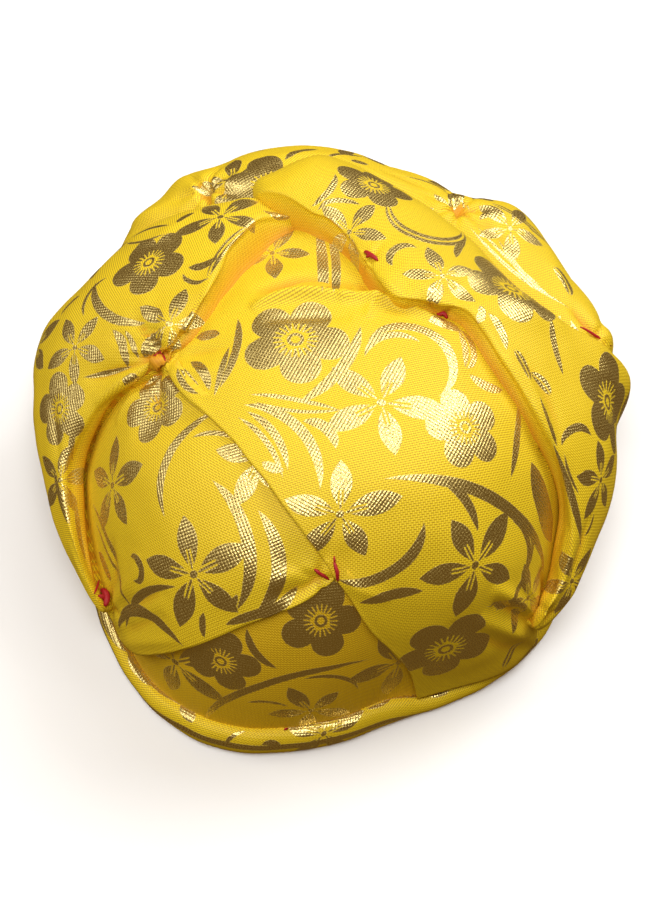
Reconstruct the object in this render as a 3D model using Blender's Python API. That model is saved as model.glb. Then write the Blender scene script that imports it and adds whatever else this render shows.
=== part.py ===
"""A ready-made Rajasthani turban: printed cotton wound and folded over a soft cap, and tacked in place.

The turban stands on its rolled hem. X is to its right, +Y points to the thick end of the wraps, Z is up,
and the floor is at z = 0. Tables are in millimetres and degrees. An azimuth is measured about CENTRE from
+X towards +Y, and "down" runs over the crown from 0 at its top to 1 at the foot of its wall.
"""

import math

import bpy
from mathutils import Vector

MM = 0.001

# Driving dimensions in millimetres.
CENTRE = (1.8, -17.9)
CAP_HEIGHT = 113.0
CAP_WALL = 2.0
CAP_FOOT = 3.2
CROWN_HEIGHT = 118.5
CLOTH = 1.5
GAP = 0.8
HEM_HEIGHT = 13.5
HEM_WIDTH = 7.0
TIER_HEIGHT = 58.0
FOOT_HEIGHT = HEM_HEIGHT + 2.5
TUCK = 0.05
HEM_INNER_ROLL = 1.2

# A rolled edge this wide and this far above the wrap's foot has the full tuck.
# A drape fills this much of it.
FULL_TUCK_WIDTH = 14.0
FULL_TUCK_HEIGHT = 30.0
DRAPE_TUCK_SHARE = 0.6

# How square the crown is: how flat its top is, and how upright its wall is.
CROWN_FLATNESS = 3.0
CROWN_UPRIGHTNESS = 2.2

# Outline of the hem round the head opening. Columns: azimuth, radius.
HEM_OUTLINE = (
    (0, 103), (30, 102), (60, 103), (90, 105), (120, 104), (150, 104), (180, 107), (210, 113),
    (242, 121), (266, 110), (286, 100.5), (314, 105.5), (327, 107.5), (345, 103.5),
)

# Outline that the crown cloth would have at the floor. Columns: azimuth, radius.
CROWN_OUTLINE = (
    (0, 106), (45, 109), (90, 117), (135, 114), (165, 109), (180, 110), (200, 111.5), (213, 114.5),
    (228, 118), (242, 119), (266, 106.5), (286, 96.5), (314, 102.5), (327, 103), (345, 103),
)

# Soft swellings and dents of the right drape. Columns: across, along, half_width, half_length, rise.
# Across and along are down * cos(azimuth) and down * sin(azimuth). The first is the top of the crown,
# the second the hollow behind it, the third the front tack, the fourth the bulge at the front right.
RIGHT_SWELLINGS = (
    (0.04, -0.13, 0.38, 0.31, 4.0),
    (0.02, 0.40, 0.34, 0.12, -3.0),
    (-0.04, -0.57, 0.09, 0.08, -2.0),
    (0.50, -0.62, 0.26, 0.20, 2.5),
)

# The same for the left drape, which lies a layer lower: all of it, its middle, the left pit and the
# front tack.
LEFT_SWELLINGS = (
    (0.0, 0.0, 9.0, 9.0, -CLOTH - GAP),
    (-0.36, -0.38, 0.20, 0.20, 2.0),
    (-0.47, -0.04, 0.10, 0.10, -3.0),
    (-0.04, -0.57, 0.11, 0.10, -2.5),
)

# The right drape's folded edge, from the left pit over the left drape to the hem. Columns: azimuth, down.
RIGHT_FOLDED_EDGE = (
    (166, 0.50), (182, 0.40), (196, 0.345), (222, 0.345), (239, 0.38), (249, 0.43), (259, 0.49),
    (266, 0.56), (270, 0.60), (274, 0.645), (279, 0.74), (284, 0.81), (289, 0.885), (292, 0.93),
)
# Where the right drape ends at the hem by the right pinch, and the left one by the left tack.
RIGHT_PINCH = (319, 0.93)
LEFT_TACK = (219, 0.93)

# The left drape's edge under the right one, and its loose flap. Columns: azimuth, down.
LEFT_COVERED_EDGE = (
    (166, 0.46), (180, 0.36), (194, 0.30), (222, 0.30), (241, 0.335), (252, 0.385), (262, 0.45), (269, 0.52),
    (269, 0.58),
)
LEFT_FLAP_EDGE = (
    LEFT_TACK, (227, 0.885), (234, 0.83), (243, 0.75), (250, 0.70), (257, 0.66), (262, 0.625), (269, 0.58),
)

# Where the drapes part in the left pit, and where the right drape's edge turns at the back.
PIT_AZIMUTH = 167
BACK_CORNER_AZIMUTH = 107

# The upper wrap from the back to the right pinch. Columns: azimuth, edge_r, edge_z, crest_r, crest_z,
# outer_r, outer_z, under_r, under_z, foot_z. Behind azimuth 20 it lies on the outer wrap.
WRAP_RIGHT = (
    (97.5, 83, 108, 103, 110, 122, 92, 109, 79, 62),
    (93, 75, 109, 100, 110, 124, 89, 108, 75, 62),
    (87, 67, 110, 94, 110, 119, 88, 105, 73, 62),
    (80, 60, 111, 86, 111, 113, 87, 102, 72, 62),
    (71, 53, 113, 77, 113, 106, 87, 98, 71, 62),
    (62, 49, 115, 72, 114, 101, 86, 96, 70, 62),
    (53, 47, 116, 70, 114, 98, 85, 94, 70, 62),
    (44, 48, 116, 71, 113, 96, 83, 93, 69, 62),
    (36, 53, 113, 75, 110, 97, 80, 94, 68, 62),
    (28, 57, 114, 81, 108, 100, 79, 96, 68, 62),
    (22, 59, 113, 87, 104, 106, 77, 99, 66, 62),
    (16, 60, 112, 92, 98, 128, 52, 116, 27, 20),
    (7, 63, 110, 94, 94, 121, 50, 113, 25, 17),
    (357, 70, 105, 97, 88, 115.5, 48, 109, 24, 17),
    (348, 81, 95, 101, 79, 113, 47, 108, 24, 18),
    (340, 91, 82, 104, 70, 111, 45, 107, 25, 19),
    (333, 99, 68, 106, 60, 111, 41, 107, 26, 21),
    (327, 103, 55, 108, 50, 110, 38, 108, 28, 23),
    (322, 105, 45, 108, 43, 110, 36, 109, 31, 26),
)

# The upper wrap at the back left, and on down to the left tack. The same columns.
# Behind azimuth 137 it lies on the outer wrap.
WRAP_LEFT = (
    (99.5, 82, 103, 85, 104, 90, 101, 89, 92, 78),
    (103, 82, 104, 87, 105, 92, 101, 91, 90, 72),
    (107, 82, 105, 91, 106, 101, 98, 96, 85, 66),
    (113, 81, 107, 95, 107, 104, 95, 97, 78, 62),
    (120, 77, 109, 96, 107, 110, 90, 102, 76, 62),
    (127, 73, 110, 97, 106, 118, 83, 106, 72, 62),
    (133, 69, 111, 99, 105, 125, 75, 110, 68, 62),
    (139, 66, 112, 103, 101, 132, 58, 119, 30, 20),
    (147, 63, 113, 103, 98, 135, 56, 120, 27, 17),
    (155, 62, 112, 101, 97, 136, 54, 120, 25, 17),
    (163, 64, 110, 101, 93, 133, 53, 119, 24, 17),
    (169, 71, 103, 104, 85, 129, 52, 118, 24, 17),
    (173, 82, 92, 109, 78, 127, 50, 117, 24, 17),
    (178, 96, 79, 113, 71, 124, 48, 116, 24, 17),
    (186, 104, 68, 114, 64, 121, 45, 115, 25, 17),
    (194, 107, 60, 114, 58, 119, 42, 114, 26, 18),
    (202, 109, 52, 114, 51, 117, 38, 114, 28, 20),
    (209, 111, 44, 114, 43, 116, 36, 114, 30, 24),
)

# The lower outer wrap round the back. Columns: azimuth, crease_r, crease_z, outer_r, outer_z, under_r,
# under_z, foot_z.
WRAP_OUTER = (
    (24, 101, 73, 129, 48, 115, 25, 22),
    (29, 101, 76, 130, 50, 116, 23, 18),
    (38, 99, 78, 133, 51, 118, 21, FOOT_HEIGHT),
    (47, 98, 81, 141, 51, 121, 20, FOOT_HEIGHT),
    (56, 101, 83, 141, 52, 122, 20, FOOT_HEIGHT),
    (61, 103, 83, 139, 53, 122, 20, FOOT_HEIGHT),
    (66, 105, 84, 135, 54, 121, 20, FOOT_HEIGHT),
    (71, 108, 84, 138, 53, 122, 20, FOOT_HEIGHT),
    (80, 115, 85, 143, 52, 125, 19, FOOT_HEIGHT),
    (90, 122, 86, 147, 52, 127, 19, FOOT_HEIGHT),
    (98, 123, 88, 149, 52, 128, 19, FOOT_HEIGHT),
    (102, 93, 103, 148, 52, 128, 19, FOOT_HEIGHT),
    (107, 104, 100, 147, 52, 128, 19, FOOT_HEIGHT),
    (113, 107, 97, 145, 53, 127, 19, FOOT_HEIGHT),
    (118, 110, 92, 148, 54, 127, 19, FOOT_HEIGHT),
    (123, 115, 86, 144, 54, 125, 20, FOOT_HEIGHT),
    (128, 121, 80, 141, 53, 123, 21, FOOT_HEIGHT),
    (132, 125, 74, 137, 51, 121, 23, 18),
)

# How finely each piece is divided.
ROUND_STEPS = 48
CAP_RINGS = 10
BACK_STEPS = 6
RIGHT_GRID = (28, 14)
LEFT_GRID = (16, 12)
WRAP_STEPS_BETWEEN_ROWS = 2

CLOTH_YELLOW = (0.90, 0.60, 0.02)


def hermite(before, start, end, after, spans, share):
    """A smooth curve between start and end, whose slopes there come from the neighbouring values."""
    span_before, span, span_after = spans
    start_slope = (end - before) / (span_before + span) * span
    end_slope = (after - start) / (span + span_after) * span
    s2, s3 = share * share, share * share * share
    return (
        (2 * s3 - 3 * s2 + 1) * start + (s3 - 2 * s2 + share) * start_slope
        + (3 * s2 - 2 * s3) * end + (s3 - s2) * end_slope
    )


def around(table, azimuth):
    """The radius at an azimuth, read smoothly from a table that goes all the way round."""
    azimuth %= 360
    count = len(table)
    index = max(i for i in range(count) if table[i][0] <= azimuth)
    rows = [table[(index + k) % count] for k in (-1, 0, 1, 2)]
    turns = [((rows[k + 1][0] - rows[k][0]) % 360) for k in range(3)]
    return hermite(*[row[1] for row in rows], turns, (azimuth - rows[1][0]) / turns[1])


def along(rows, place):
    """Every column of a table at a place from 0 (its first row) to 1 (its last), read smoothly."""
    last = len(rows) - 1
    scaled = min(max(place, 0.0), 1.0) * last
    index = min(int(scaled), last - 1)
    picked = [rows[min(max(index + k, 0), last)] for k in (-1, 0, 1, 2)]
    return [hermite(*column, (1, 1, 1), scaled - index) for column in zip(*picked)]


def unwound(rows):
    """The rows with azimuths that run on past 360 or below 0, so that they can be read between rows."""
    result = [list(rows[0])]
    for row in rows[1:]:
        turn = (row[0] - result[-1][0] + 180) % 360 - 180
        result.append([result[-1][0] + turn, *row[1:]])
    return result


def crown_radius(outline, azimuth, share):
    """The plan radius of a dome where its section has reached this share of its outline."""
    mean = sum(radius for _, radius in outline) / len(outline)
    return share * (mean + (around(outline, azimuth) - mean) * share * share)


def on_dome(outline, height, azimuth, down):
    """The radius and height of a dome at this azimuth and way down."""
    turn = math.radians(90) * max(down, 0.0) ** 1.5
    share = math.sin(turn) ** (2 / CROWN_FLATNESS)
    level = height * max(math.cos(turn), 0.0) ** (2 / CROWN_UPRIGHTNESS)
    return crown_radius(outline, azimuth, share), level


def dome_radius_at(outline, height, azimuth, level):
    """The radius of a dome's wall at this level above the floor."""
    share = (1 - (max(level, 0.0) / height) ** CROWN_UPRIGHTNESS) ** (1 / CROWN_FLATNESS)
    return crown_radius(outline, azimuth, share)


def cap_down_at(level):
    """How far down the cap a level lies."""
    share = (level / CAP_HEIGHT) ** (CROWN_UPRIGHTNESS / 2)
    return (math.acos(share) / math.radians(90)) ** (1 / 1.5)


def above_dome(outline, height, azimuth, down, lift):
    """A point of a dome's section, raised from it along its normal."""
    step = 0.002
    before = Vector(on_dome(outline, height, azimuth, down - step))
    after = Vector(on_dome(outline, height, azimuth, down + step))
    slope = (after - before).normalized()
    return Vector(on_dome(outline, height, azimuth, down)) + Vector((-slope.y, slope.x)) * lift


def nearest_down(outline, height, azimuth, spot):
    """How far down a dome's section lies nearest to a spot of it."""
    low, high = 0.05, 0.97
    for _ in range(40):
        left, right = low + (high - low) / 3, high - (high - low) / 3
        left_gap = (Vector(on_dome(outline, height, azimuth, left)) - spot).length
        right_gap = (Vector(on_dome(outline, height, azimuth, right)) - spot).length
        if left_gap < right_gap:
            high = right
        else:
            low = left
    return (low + high) / 2


def placed(azimuth, radius, level):
    """A point in metres from its azimuth, radius and height in millimetres."""
    turn = math.radians(azimuth)
    x = CENTRE[0] + radius * math.cos(turn)
    y = CENTRE[1] + radius * math.sin(turn)
    return Vector((x, y, level)) * MM


def cap_outline():
    """The outside of the cap's wall, which the hem goes round."""
    return tuple((azimuth, radius - HEM_WIDTH) for azimuth, radius in HEM_OUTLINE)


CAP_OUTLINE = cap_outline()


def swelling(rows, across, along_crown):
    """How far the cloth stands out of or sinks into the crown here, in millimetres."""
    total = 0.0
    for centre_across, centre_along, half_width, half_length, rise in rows:
        sideways = (across - centre_across) / half_width
        lengthways = (along_crown - centre_along) / half_length
        total += rise * math.exp(-(sideways ** 4) - lengthways ** 4)
    return total


def crown_cloth(across, along_crown, swellings):
    """A point on the outside of a drape."""
    down = min(math.hypot(across, along_crown), 0.999)
    azimuth = math.degrees(math.atan2(along_crown, across))
    lift = swelling(swellings, across, along_crown)
    return placed(azimuth, *above_dome(CROWN_OUTLINE, CROWN_HEIGHT, azimuth, down, lift))


def material(name, colour):
    """Matt printed cotton."""
    made = bpy.data.materials.new(name)
    made.use_nodes = True
    shader = made.node_tree.nodes["Principled BSDF"]
    shader.inputs["Base Color"].default_value = (*colour, 1)
    shader.inputs["Roughness"].default_value = 0.7
    shader.inputs["Metallic"].default_value = 0.0
    return made


def new_piece(name, points, faces):
    """An object made of these points and faces, shaded smooth, in its own material."""
    mesh = bpy.data.meshes.new(name)
    mesh.from_pydata([tuple(point) for point in points], [], faces)
    mesh.validate()
    mesh.shade_smooth()
    piece = bpy.data.objects.new(name, mesh)
    bpy.context.scene.collection.objects.link(piece)
    mesh.materials.append(material(name, CLOTH_YELLOW))
    return piece


def thicken(piece, wall):
    """Gives an open sheet its wall, on the inside."""
    solidify = piece.modifiers.new("wall", "SOLIDIFY")
    solidify.thickness = wall * MM
    solidify.offset = -1
    solidify.use_even_offset = True


def make_cap():
    """The hollow dome of cloth that carries everything, open below."""
    points = [placed(0, 0, CAP_HEIGHT)]
    faces = []
    for ring in range(1, CAP_RINGS + 1):
        down = cap_down_at(CAP_FOOT) * ring / CAP_RINGS
        for side in range(ROUND_STEPS):
            azimuth = 360 * side / ROUND_STEPS
            points.append(placed(azimuth, *on_dome(CAP_OUTLINE, CAP_HEIGHT, azimuth, down)))
    for side in range(ROUND_STEPS):
        following = (side + 1) % ROUND_STEPS
        faces.append((0, 1 + side, 1 + following))
        for ring in range(CAP_RINGS - 1):
            upper = 1 + ring * ROUND_STEPS
            lower = upper + ROUND_STEPS
            faces.append((upper + side, lower + side, lower + following, upper + following))
    thicken(new_piece("cap", points, faces), CAP_WALL)


def make_hem():
    """The rolled hem: cloth wound round the foot of the cap, flat where it stands on the floor."""
    inside, outside = -CAP_WALL - GAP - HEM_INNER_ROLL, HEM_WIDTH
    # Columns: distance outwards from the cap's outer face, height.
    section = (
        (GAP, HEM_HEIGHT), (outside * 0.55, HEM_HEIGHT - 0.4), (outside * 0.92, HEM_HEIGHT * 0.72),
        (outside, HEM_HEIGHT * 0.42), (outside * 0.9, 1.6), (outside * 0.62, 0), (inside * 0.6, 0),
        (inside, 1.8), (inside, 6.0), (-CAP_WALL - GAP, 6.0), (-CAP_WALL - GAP, CAP_FOOT - GAP),
        (GAP, CAP_FOOT - GAP),
    )
    points, faces = [], []
    for side in range(ROUND_STEPS):
        azimuth = 360 * side / ROUND_STEPS
        for distance, level in section:
            wall = dome_radius_at(CAP_OUTLINE, CAP_HEIGHT, azimuth, level)
            points.append(placed(azimuth, wall + distance, level))
    count = len(section)
    for side in range(ROUND_STEPS):
        here, there = side * count, (side + 1) % ROUND_STEPS * count
        for k in range(count):
            following = (k + 1) % count
            faces.append((here + k, here + following, there + following, there + k))
    new_piece("rim_roll", points, faces)


def chart(rows, place):
    """A place along an edge of a drape, as across and along on the crown."""
    azimuth, down = along(unwound(rows), place)
    turn = math.radians(azimuth)
    return Vector((down * math.cos(turn), down * math.sin(turn)))


def seat_of(row):
    """How far down the crown the rolled edge of a wrap lies, and how deep the tuck under it is."""
    azimuth, edge_r, edge_z, outer_r, foot_z = row[0], row[1], row[2], row[5], row[9]
    down = nearest_down(CROWN_OUTLINE, CROWN_HEIGHT, azimuth, Vector((edge_r, edge_z)))
    return down, TUCK * min((outer_r - edge_r) / FULL_TUCK_WIDTH, (edge_z - foot_z) / FULL_TUCK_HEIGHT, 1)


def under_wrap(rows):
    """An edge that is tucked under the rolled edge of a wrap."""
    edge = []
    for row in rows:
        down, depth = seat_of(row)
        edge.append((row[0], down + depth * DRAPE_TUCK_SHARE))
    return edge


def make_drape(name, edges, swellings, grid):
    """A sheet laid over the crown between its first, second, top and bottom edges."""
    first, second, top, bottom = edges
    rows, columns = grid
    corners = [chart(first, 0), chart(second, 0), chart(first, 1), chart(second, 1)]
    points, faces = [], []
    for row in range(rows + 1):
        down = row / rows
        for column in range(columns + 1):
            share = column / columns
            from_sides = chart(first, down).lerp(chart(second, down), share)
            from_ends = chart(top, share).lerp(chart(bottom, share), down)
            from_corners = corners[0].lerp(corners[1], share).lerp(corners[2].lerp(corners[3], share), down)
            spot = from_sides + from_ends - from_corners
            points.append(crown_cloth(spot.x, spot.y, swellings))
    width = columns + 1
    for row in range(rows):
        for column in range(columns):
            corner = row * width + column
            faces.append((corner, corner + width, corner + width + 1, corner + 1))
    thicken(new_piece(name, points, faces), CLOTH)


def make_drapes():
    """The two sheets that cover the crown. The right one is folded over the left one."""
    pit = next(k for k, row in enumerate(WRAP_LEFT) if row[0] >= PIT_AZIMUTH)
    back = next(k for k, row in enumerate(WRAP_LEFT) if row[0] >= BACK_CORNER_AZIMUTH)
    right_top = (RIGHT_FOLDED_EDGE[0], *under_wrap(reversed(WRAP_LEFT[back:pit])))
    right_tucked = [
        right_top[-1], *under_wrap(reversed(WRAP_LEFT[1:back])), *under_wrap(WRAP_RIGHT[1:]), RIGHT_PINCH,
    ]
    right_bottom = (RIGHT_FOLDED_EDGE[-1], RIGHT_PINCH)
    make_drape(
        "drape_right", (RIGHT_FOLDED_EDGE, right_tucked, right_top, right_bottom), RIGHT_SWELLINGS, RIGHT_GRID,
    )
    left_tucked = [*under_wrap(WRAP_LEFT[pit:]), LEFT_TACK]
    left_top = (left_tucked[0], LEFT_COVERED_EDGE[0])
    make_drape(
        "drape_left", (left_tucked, LEFT_COVERED_EDGE, left_top, LEFT_FLAP_EDGE), LEFT_SWELLINGS, LEFT_GRID,
    )


def rounded(controls, steps):
    """Points on a smooth open curve through the controls."""
    last = (len(controls) - 1) * steps
    return [along(controls, k / last) for k in range(last + 1)]


def back_along_cap(azimuth, top_down, foot_z):
    """The side of a wrap that lies against the cap, from its foot upwards."""
    foot_down = cap_down_at(foot_z)
    top_down = min(top_down, foot_down - TUCK * 0.4)
    downs = [foot_down + (top_down - foot_down) * k / BACK_STEPS for k in range(BACK_STEPS + 1)]
    return [above_dome(CAP_OUTLINE, CAP_HEIGHT, azimuth, down, GAP) for down in downs]


def upper_section(row):
    """The closed section of an upper wrap: its back along the cap, then its rolled edge and its face."""
    azimuth, edge_r, edge_z, crest_r, crest_z, outer_r, outer_z, under_r, under_z, foot_z = row
    crown = (CROWN_OUTLINE, CROWN_HEIGHT, azimuth)
    edge_down, tuck_depth = seat_of(row)
    turn = math.radians(azimuth)
    rise = swelling(RIGHT_SWELLINGS, edge_down * math.cos(turn), edge_down * math.sin(turn))
    seat = max(rise, 0.0) + GAP
    tuck = above_dome(*crown, edge_down + tuck_depth, seat)
    underside = above_dome(*crown, edge_down + tuck_depth * 0.4, seat + 0.9)
    face = rounded(
        (
            underside, (edge_r, edge_z), (edge_r + 4, edge_z + 3.2), (crest_r, crest_z),
            (outer_r * 0.7 + crest_r * 0.3, outer_z * 0.45 + crest_z * 0.55), (outer_r, outer_z),
            (under_r, under_z),
        ),
        2,
    )
    cap_top = nearest_down(CAP_OUTLINE, CAP_HEIGHT, azimuth, tuck) + tuck_depth * 0.6
    return [*back_along_cap(azimuth, cap_top, foot_z), tuck, *face]


def outer_section(row):
    """The closed section of the outer wrap, whose top lies under the upper wraps."""
    azimuth, crease_r, crease_z, outer_r, outer_z, under_r, under_z, foot_z = row
    face = rounded(
        (
            (crease_r, crease_z - 5), (crease_r * 0.55 + outer_r * 0.45, crease_z - 5),
            (crease_r * 0.15 + outer_r * 0.85, crease_z * 0.55 + outer_z * 0.45), (outer_r, outer_z),
            (under_r, under_z),
        ),
        2,
    )
    return [*back_along_cap(azimuth, cap_down_at(TIER_HEIGHT), foot_z), *face]


def make_wrap(name, rows, section):
    """A length of wound cloth, lofted through the sections that its table gives."""
    rows = unwound(rows)
    stations = (len(rows) - 1) * WRAP_STEPS_BETWEEN_ROWS
    points, faces, count = [], [], 0
    for station in range(stations + 1):
        row = along(rows, station / stations)
        loop = section(row)
        count = len(loop)
        points.extend(placed(row[0], radius, level) for radius, level in loop)
    for station in range(stations):
        here = station * count
        there = here + count
        for k in range(count):
            following = (k + 1) % count
            faces.append((here + k, there + k, there + following, here + following))
    faces.append(tuple(range(count)))
    faces.append(tuple(reversed(range(stations * count, (stations + 1) * count))))
    piece = new_piece(name, points, faces)
    if rows[-1][0] > rows[0][0]:
        piece.data.flip_normals()


for old in list(bpy.data.objects):
    bpy.data.objects.remove(old, do_unlink=True)

make_cap()
make_hem()
make_drapes()
make_wrap("wrap_outer", WRAP_OUTER, outer_section)
make_wrap("wrap_left", WRAP_LEFT, upper_section)
make_wrap("wrap_right", WRAP_RIGHT, upper_section)
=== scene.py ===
import math

import bmesh
import bpy
import numpy as np
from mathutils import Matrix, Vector, noise
from mathutils.bvhtree import BVHTree


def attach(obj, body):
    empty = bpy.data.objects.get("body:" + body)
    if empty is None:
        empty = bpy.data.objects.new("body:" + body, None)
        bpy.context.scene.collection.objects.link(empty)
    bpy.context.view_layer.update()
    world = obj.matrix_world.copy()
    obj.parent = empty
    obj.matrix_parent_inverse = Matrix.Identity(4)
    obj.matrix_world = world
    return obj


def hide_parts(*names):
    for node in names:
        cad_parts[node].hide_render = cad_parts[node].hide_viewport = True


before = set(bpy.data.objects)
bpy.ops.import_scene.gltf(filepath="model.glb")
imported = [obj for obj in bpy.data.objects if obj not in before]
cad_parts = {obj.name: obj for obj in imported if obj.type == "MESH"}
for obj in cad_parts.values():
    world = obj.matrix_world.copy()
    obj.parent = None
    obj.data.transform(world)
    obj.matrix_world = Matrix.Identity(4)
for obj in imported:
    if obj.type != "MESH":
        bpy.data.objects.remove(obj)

bpy.ops.object.select_all(action="DESELECT")
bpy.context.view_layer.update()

# The view. The turban is looked down on from the front at 60 degrees, as it stands on a table.
# The print further down is charted as it is seen from here, so the view comes first.
PICTURE_WIDTH, PICTURE_HEIGHT = 660, 900
FOCUS = 1896
AIM = Vector((-0.0012, -0.0079, 0.038))
EYE_DISTANCE = 0.80
SENSOR = 36.0


def view_from(azimuth, elevation):
    """The eye's place and its axes across, up and back, for a view of the turban from this side."""
    turn, rise = math.radians(azimuth), math.radians(elevation)
    back = Vector((math.sin(turn) * math.cos(rise), -math.cos(turn) * math.cos(rise), math.sin(rise)))
    across = Vector((math.cos(turn), math.sin(turn), 0))
    return AIM + back * EYE_DISTANCE, across, back.cross(across), back


FRONT = view_from(0, 60)

camera_data = bpy.data.cameras.new("view")
camera_data.sensor_width = SENSOR
camera_data.lens = SENSOR * FOCUS / PICTURE_HEIGHT
camera = bpy.data.objects.new("view", camera_data)
camera.location = FRONT[0]
camera.rotation_mode = "QUATERNION"
camera.rotation_quaternion = (-FRONT[3]).to_track_quat("-Z", "Y")
bpy.context.scene.collection.objects.link(camera)
bpy.context.scene.camera = camera


# The cotton. All of the cloth is one light plain-woven cotton, dyed a warm yellow and printed on its face
# with a brown gold foil: five-petalled flowers, pointed five-leaved flowers and curling strokes.
# The foil breaks up over the weave, so that it glitters.
MM = 0.001
THREAD_PITCH, THREAD_TURN = 0.00088, 40
COTTON_YELLOW = (1.0, 0.765, 0.012)
COTTON_DYED_TWICE = (0.88, 0.50, 0.004)
COTTON_PORES = (0.38, 0.21, 0.002)
# The deeper orange painted into folds and inner walls as shade.
COTTON_PAINTED_FOLD_SHADE = (0.66, 0.25, 0.001)
COTTON_REVERSE = (0.90, 0.60, 0.02)
FOIL_GOLD = (0.80, 0.64, 0.24)
FOIL_WORN = (0.36, 0.20, 0.02)
COTTON_ROUGHNESS, REVERSE_ROUGHNESS = 0.64, 0.9
# The most of the dye patches, of the painted fold shade and of the foil's wear.
MOST_DYE, MOST_PAINTED_SHADE, MOST_WORN = 0.22, 0.8, 0.3
COTTON_GRAIN, REVERSE_GRAIN, FOIL_GLITTER, GRAIN_STRENGTH = 0.17, 0.05, 0.12, 0.8
SPECKLE_SCALE, DYE_SCALE = 2300.0, 26.0


class Number:
    """A number that a node puts out. Reckoning with it adds Math nodes to its tree."""

    def __init__(self, socket):
        self.socket = socket

    def __add__(self, other):
        return reckon("ADD", self, other)

    def __radd__(self, other):
        return reckon("ADD", other, self)

    def __sub__(self, other):
        return reckon("SUBTRACT", self, other)

    def __rsub__(self, other):
        return reckon("SUBTRACT", other, self)

    def __mul__(self, other):
        return reckon("MULTIPLY", self, other)

    def __truediv__(self, other):
        return reckon("DIVIDE", self, other)

    def __pow__(self, other):
        return reckon("POWER", self, other)

    def __abs__(self):
        return reckon("ABSOLUTE", self)


def feed(socket, value):
    """Give a socket a plain value, or link it to what a node puts out."""
    if isinstance(value, Number):
        value = value.socket
    if isinstance(value, bpy.types.NodeSocket):
        socket.id_data.links.new(value, socket)
    elif socket.type == "RGBA":
        socket.default_value = (*value, 1)
    else:
        socket.default_value = value


def add_node(tree, kind, inputs=None, **settings):
    """A new node with these settings and with these inputs fed."""
    node = tree.nodes.new(kind)
    for setting, value in settings.items():
        setattr(node, setting, value)
    for socket, value in (inputs or {}).items():
        feed(node.inputs[socket], value)
    return node


def reckon(operation, *values):
    """The number that a Math node puts out. At least one of these values comes from a node."""
    tree = next(value.socket.id_data for value in values if isinstance(value, Number))
    return Number(add_node(tree, "ShaderNodeMath", dict(enumerate(values)), operation=operation).outputs[0])


def parts_of(vector):
    """The three parts of a vector, as numbers."""
    split = add_node(vector.id_data, "ShaderNodeSeparateXYZ", {"Vector": vector})
    return [Number(part) for part in split.outputs]


def effect(name, inputs, outputs):
    """An empty shader node group with these sockets, and its two end nodes."""
    group = bpy.data.node_groups.new(name, "ShaderNodeTree")
    for socket, kind in inputs:
        group.interface.new_socket(socket, in_out="INPUT", socket_type=kind)
    for socket, kind in outputs:
        group.interface.new_socket(socket, in_out="OUTPUT", socket_type=kind)
    return group, group.nodes.new("NodeGroupInput"), group.nodes.new("NodeGroupOutput")


def motif_group(name, settings=()):
    """A group for one kind of motif. It takes the flat place of the cloth, whose third value is the print so
    far, and the same place as the motif sees it, and puts out the first with the motif added."""
    sockets = [("Cloth", "NodeSocketVector"), ("Place", "NodeSocketVector"), ("Size", "NodeSocketFloat")]
    sockets += [(setting, "NodeSocketFloat") for setting in settings]
    return effect(name, sockets, [("Cloth", "NodeSocketVector")])


def put_on(tree, given, made, shape):
    """Add a motif's shape, which is positive inside it, to the print so far."""
    x, y, print_so_far = parts_of(given.outputs["Cloth"])
    deepest = reckon("MAXIMUM", print_so_far, shape * Number(given.outputs["Size"]))
    joined = add_node(tree, "ShaderNodeCombineXYZ", {"X": x, "Y": y, "Z": deepest})
    feed(made.inputs["Cloth"], joined.outputs["Vector"])
    return tree


def polar(tree, place):
    """How far a place is from a motif's middle, and its angle there."""
    x, y, _ = parts_of(place)
    flat = add_node(tree, "ShaderNodeCombineXYZ", {"X": x, "Y": y})
    length = add_node(tree, "ShaderNodeVectorMath", {0: flat.outputs["Vector"]}, operation="LENGTH")
    return Number(length.outputs["Value"]), reckon("ARCTAN2", y, x)


# The flowers are drawn about their middle, with their petals' tips at 1.
PETALS = 5
PETAL_MIDDLE, PETAL_HALF_LENGTH, PETAL_HALF_WIDTH, PETAL_SQUARENESS = 0.61, 0.40, 0.385, 2.3
RAY_TURN, RAY_WIDTH, RAYS_END = 9, 0.016, 0.40
RING_RADIUS, RING_WIDTH = 0.125, 0.036
LEAF_ROOT, LEAF_LENGTH, LEAF_WIDTH, LEAF_SHAPE = 0.08, 0.92, 0.86, 1.15
LEAF_SLIT, LEAF_SLIT_WIDTH, LEAF_SLIT_END, DOT_RADIUS = 0.035, 0.014, 0.42, 0.07
UNLIKE_LEAVES, UNLIKE_TURNS, UNLIKE_START = 0.09, 2.0, 0.7
STROKE_TAPER = 3.0
# How steeply the print deepens in from a petal's edge, and closes past the end of a bare ray or slit.
PETAL_SLOPE, CLOSING_SLOPE = 0.38, 0.5


def in_petal(radius, angle):
    """How far a place is along the nearest of five petals, and how far beside its middle line."""
    side = reckon("PINGPONG", angle, math.radians(180 / PETALS))
    return radius * reckon("COSINE", side), radius * reckon("SINE", side)


def round_flower():
    """Five round petals with bare rays between them, about a small ring."""
    tree, given, made = motif_group("round_flower")
    radius, angle = polar(tree, given.outputs["Place"])
    along_petal, across_petal = in_petal(radius, angle)
    reach = (along_petal - PETAL_MIDDLE) / PETAL_HALF_LENGTH
    spread = across_petal / PETAL_HALF_WIDTH
    from_middle = reckon("SQRT", abs(reach) ** PETAL_SQUARENESS + spread ** 2.0)
    petal = (1.0 - from_middle) * PETAL_SLOPE
    ray = radius * reckon("PINGPONG", angle, math.radians(RAY_TURN)) - RAY_WIDTH
    past_rays = reckon("MAXIMUM", radius - RAYS_END, 0.0) * CLOSING_SLOPE
    petal = reckon("MINIMUM", petal, ray + past_rays)
    ring = RING_WIDTH - abs(radius - RING_RADIUS)
    return put_on(tree, given, made, reckon("MAXIMUM", petal, ring))


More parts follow.
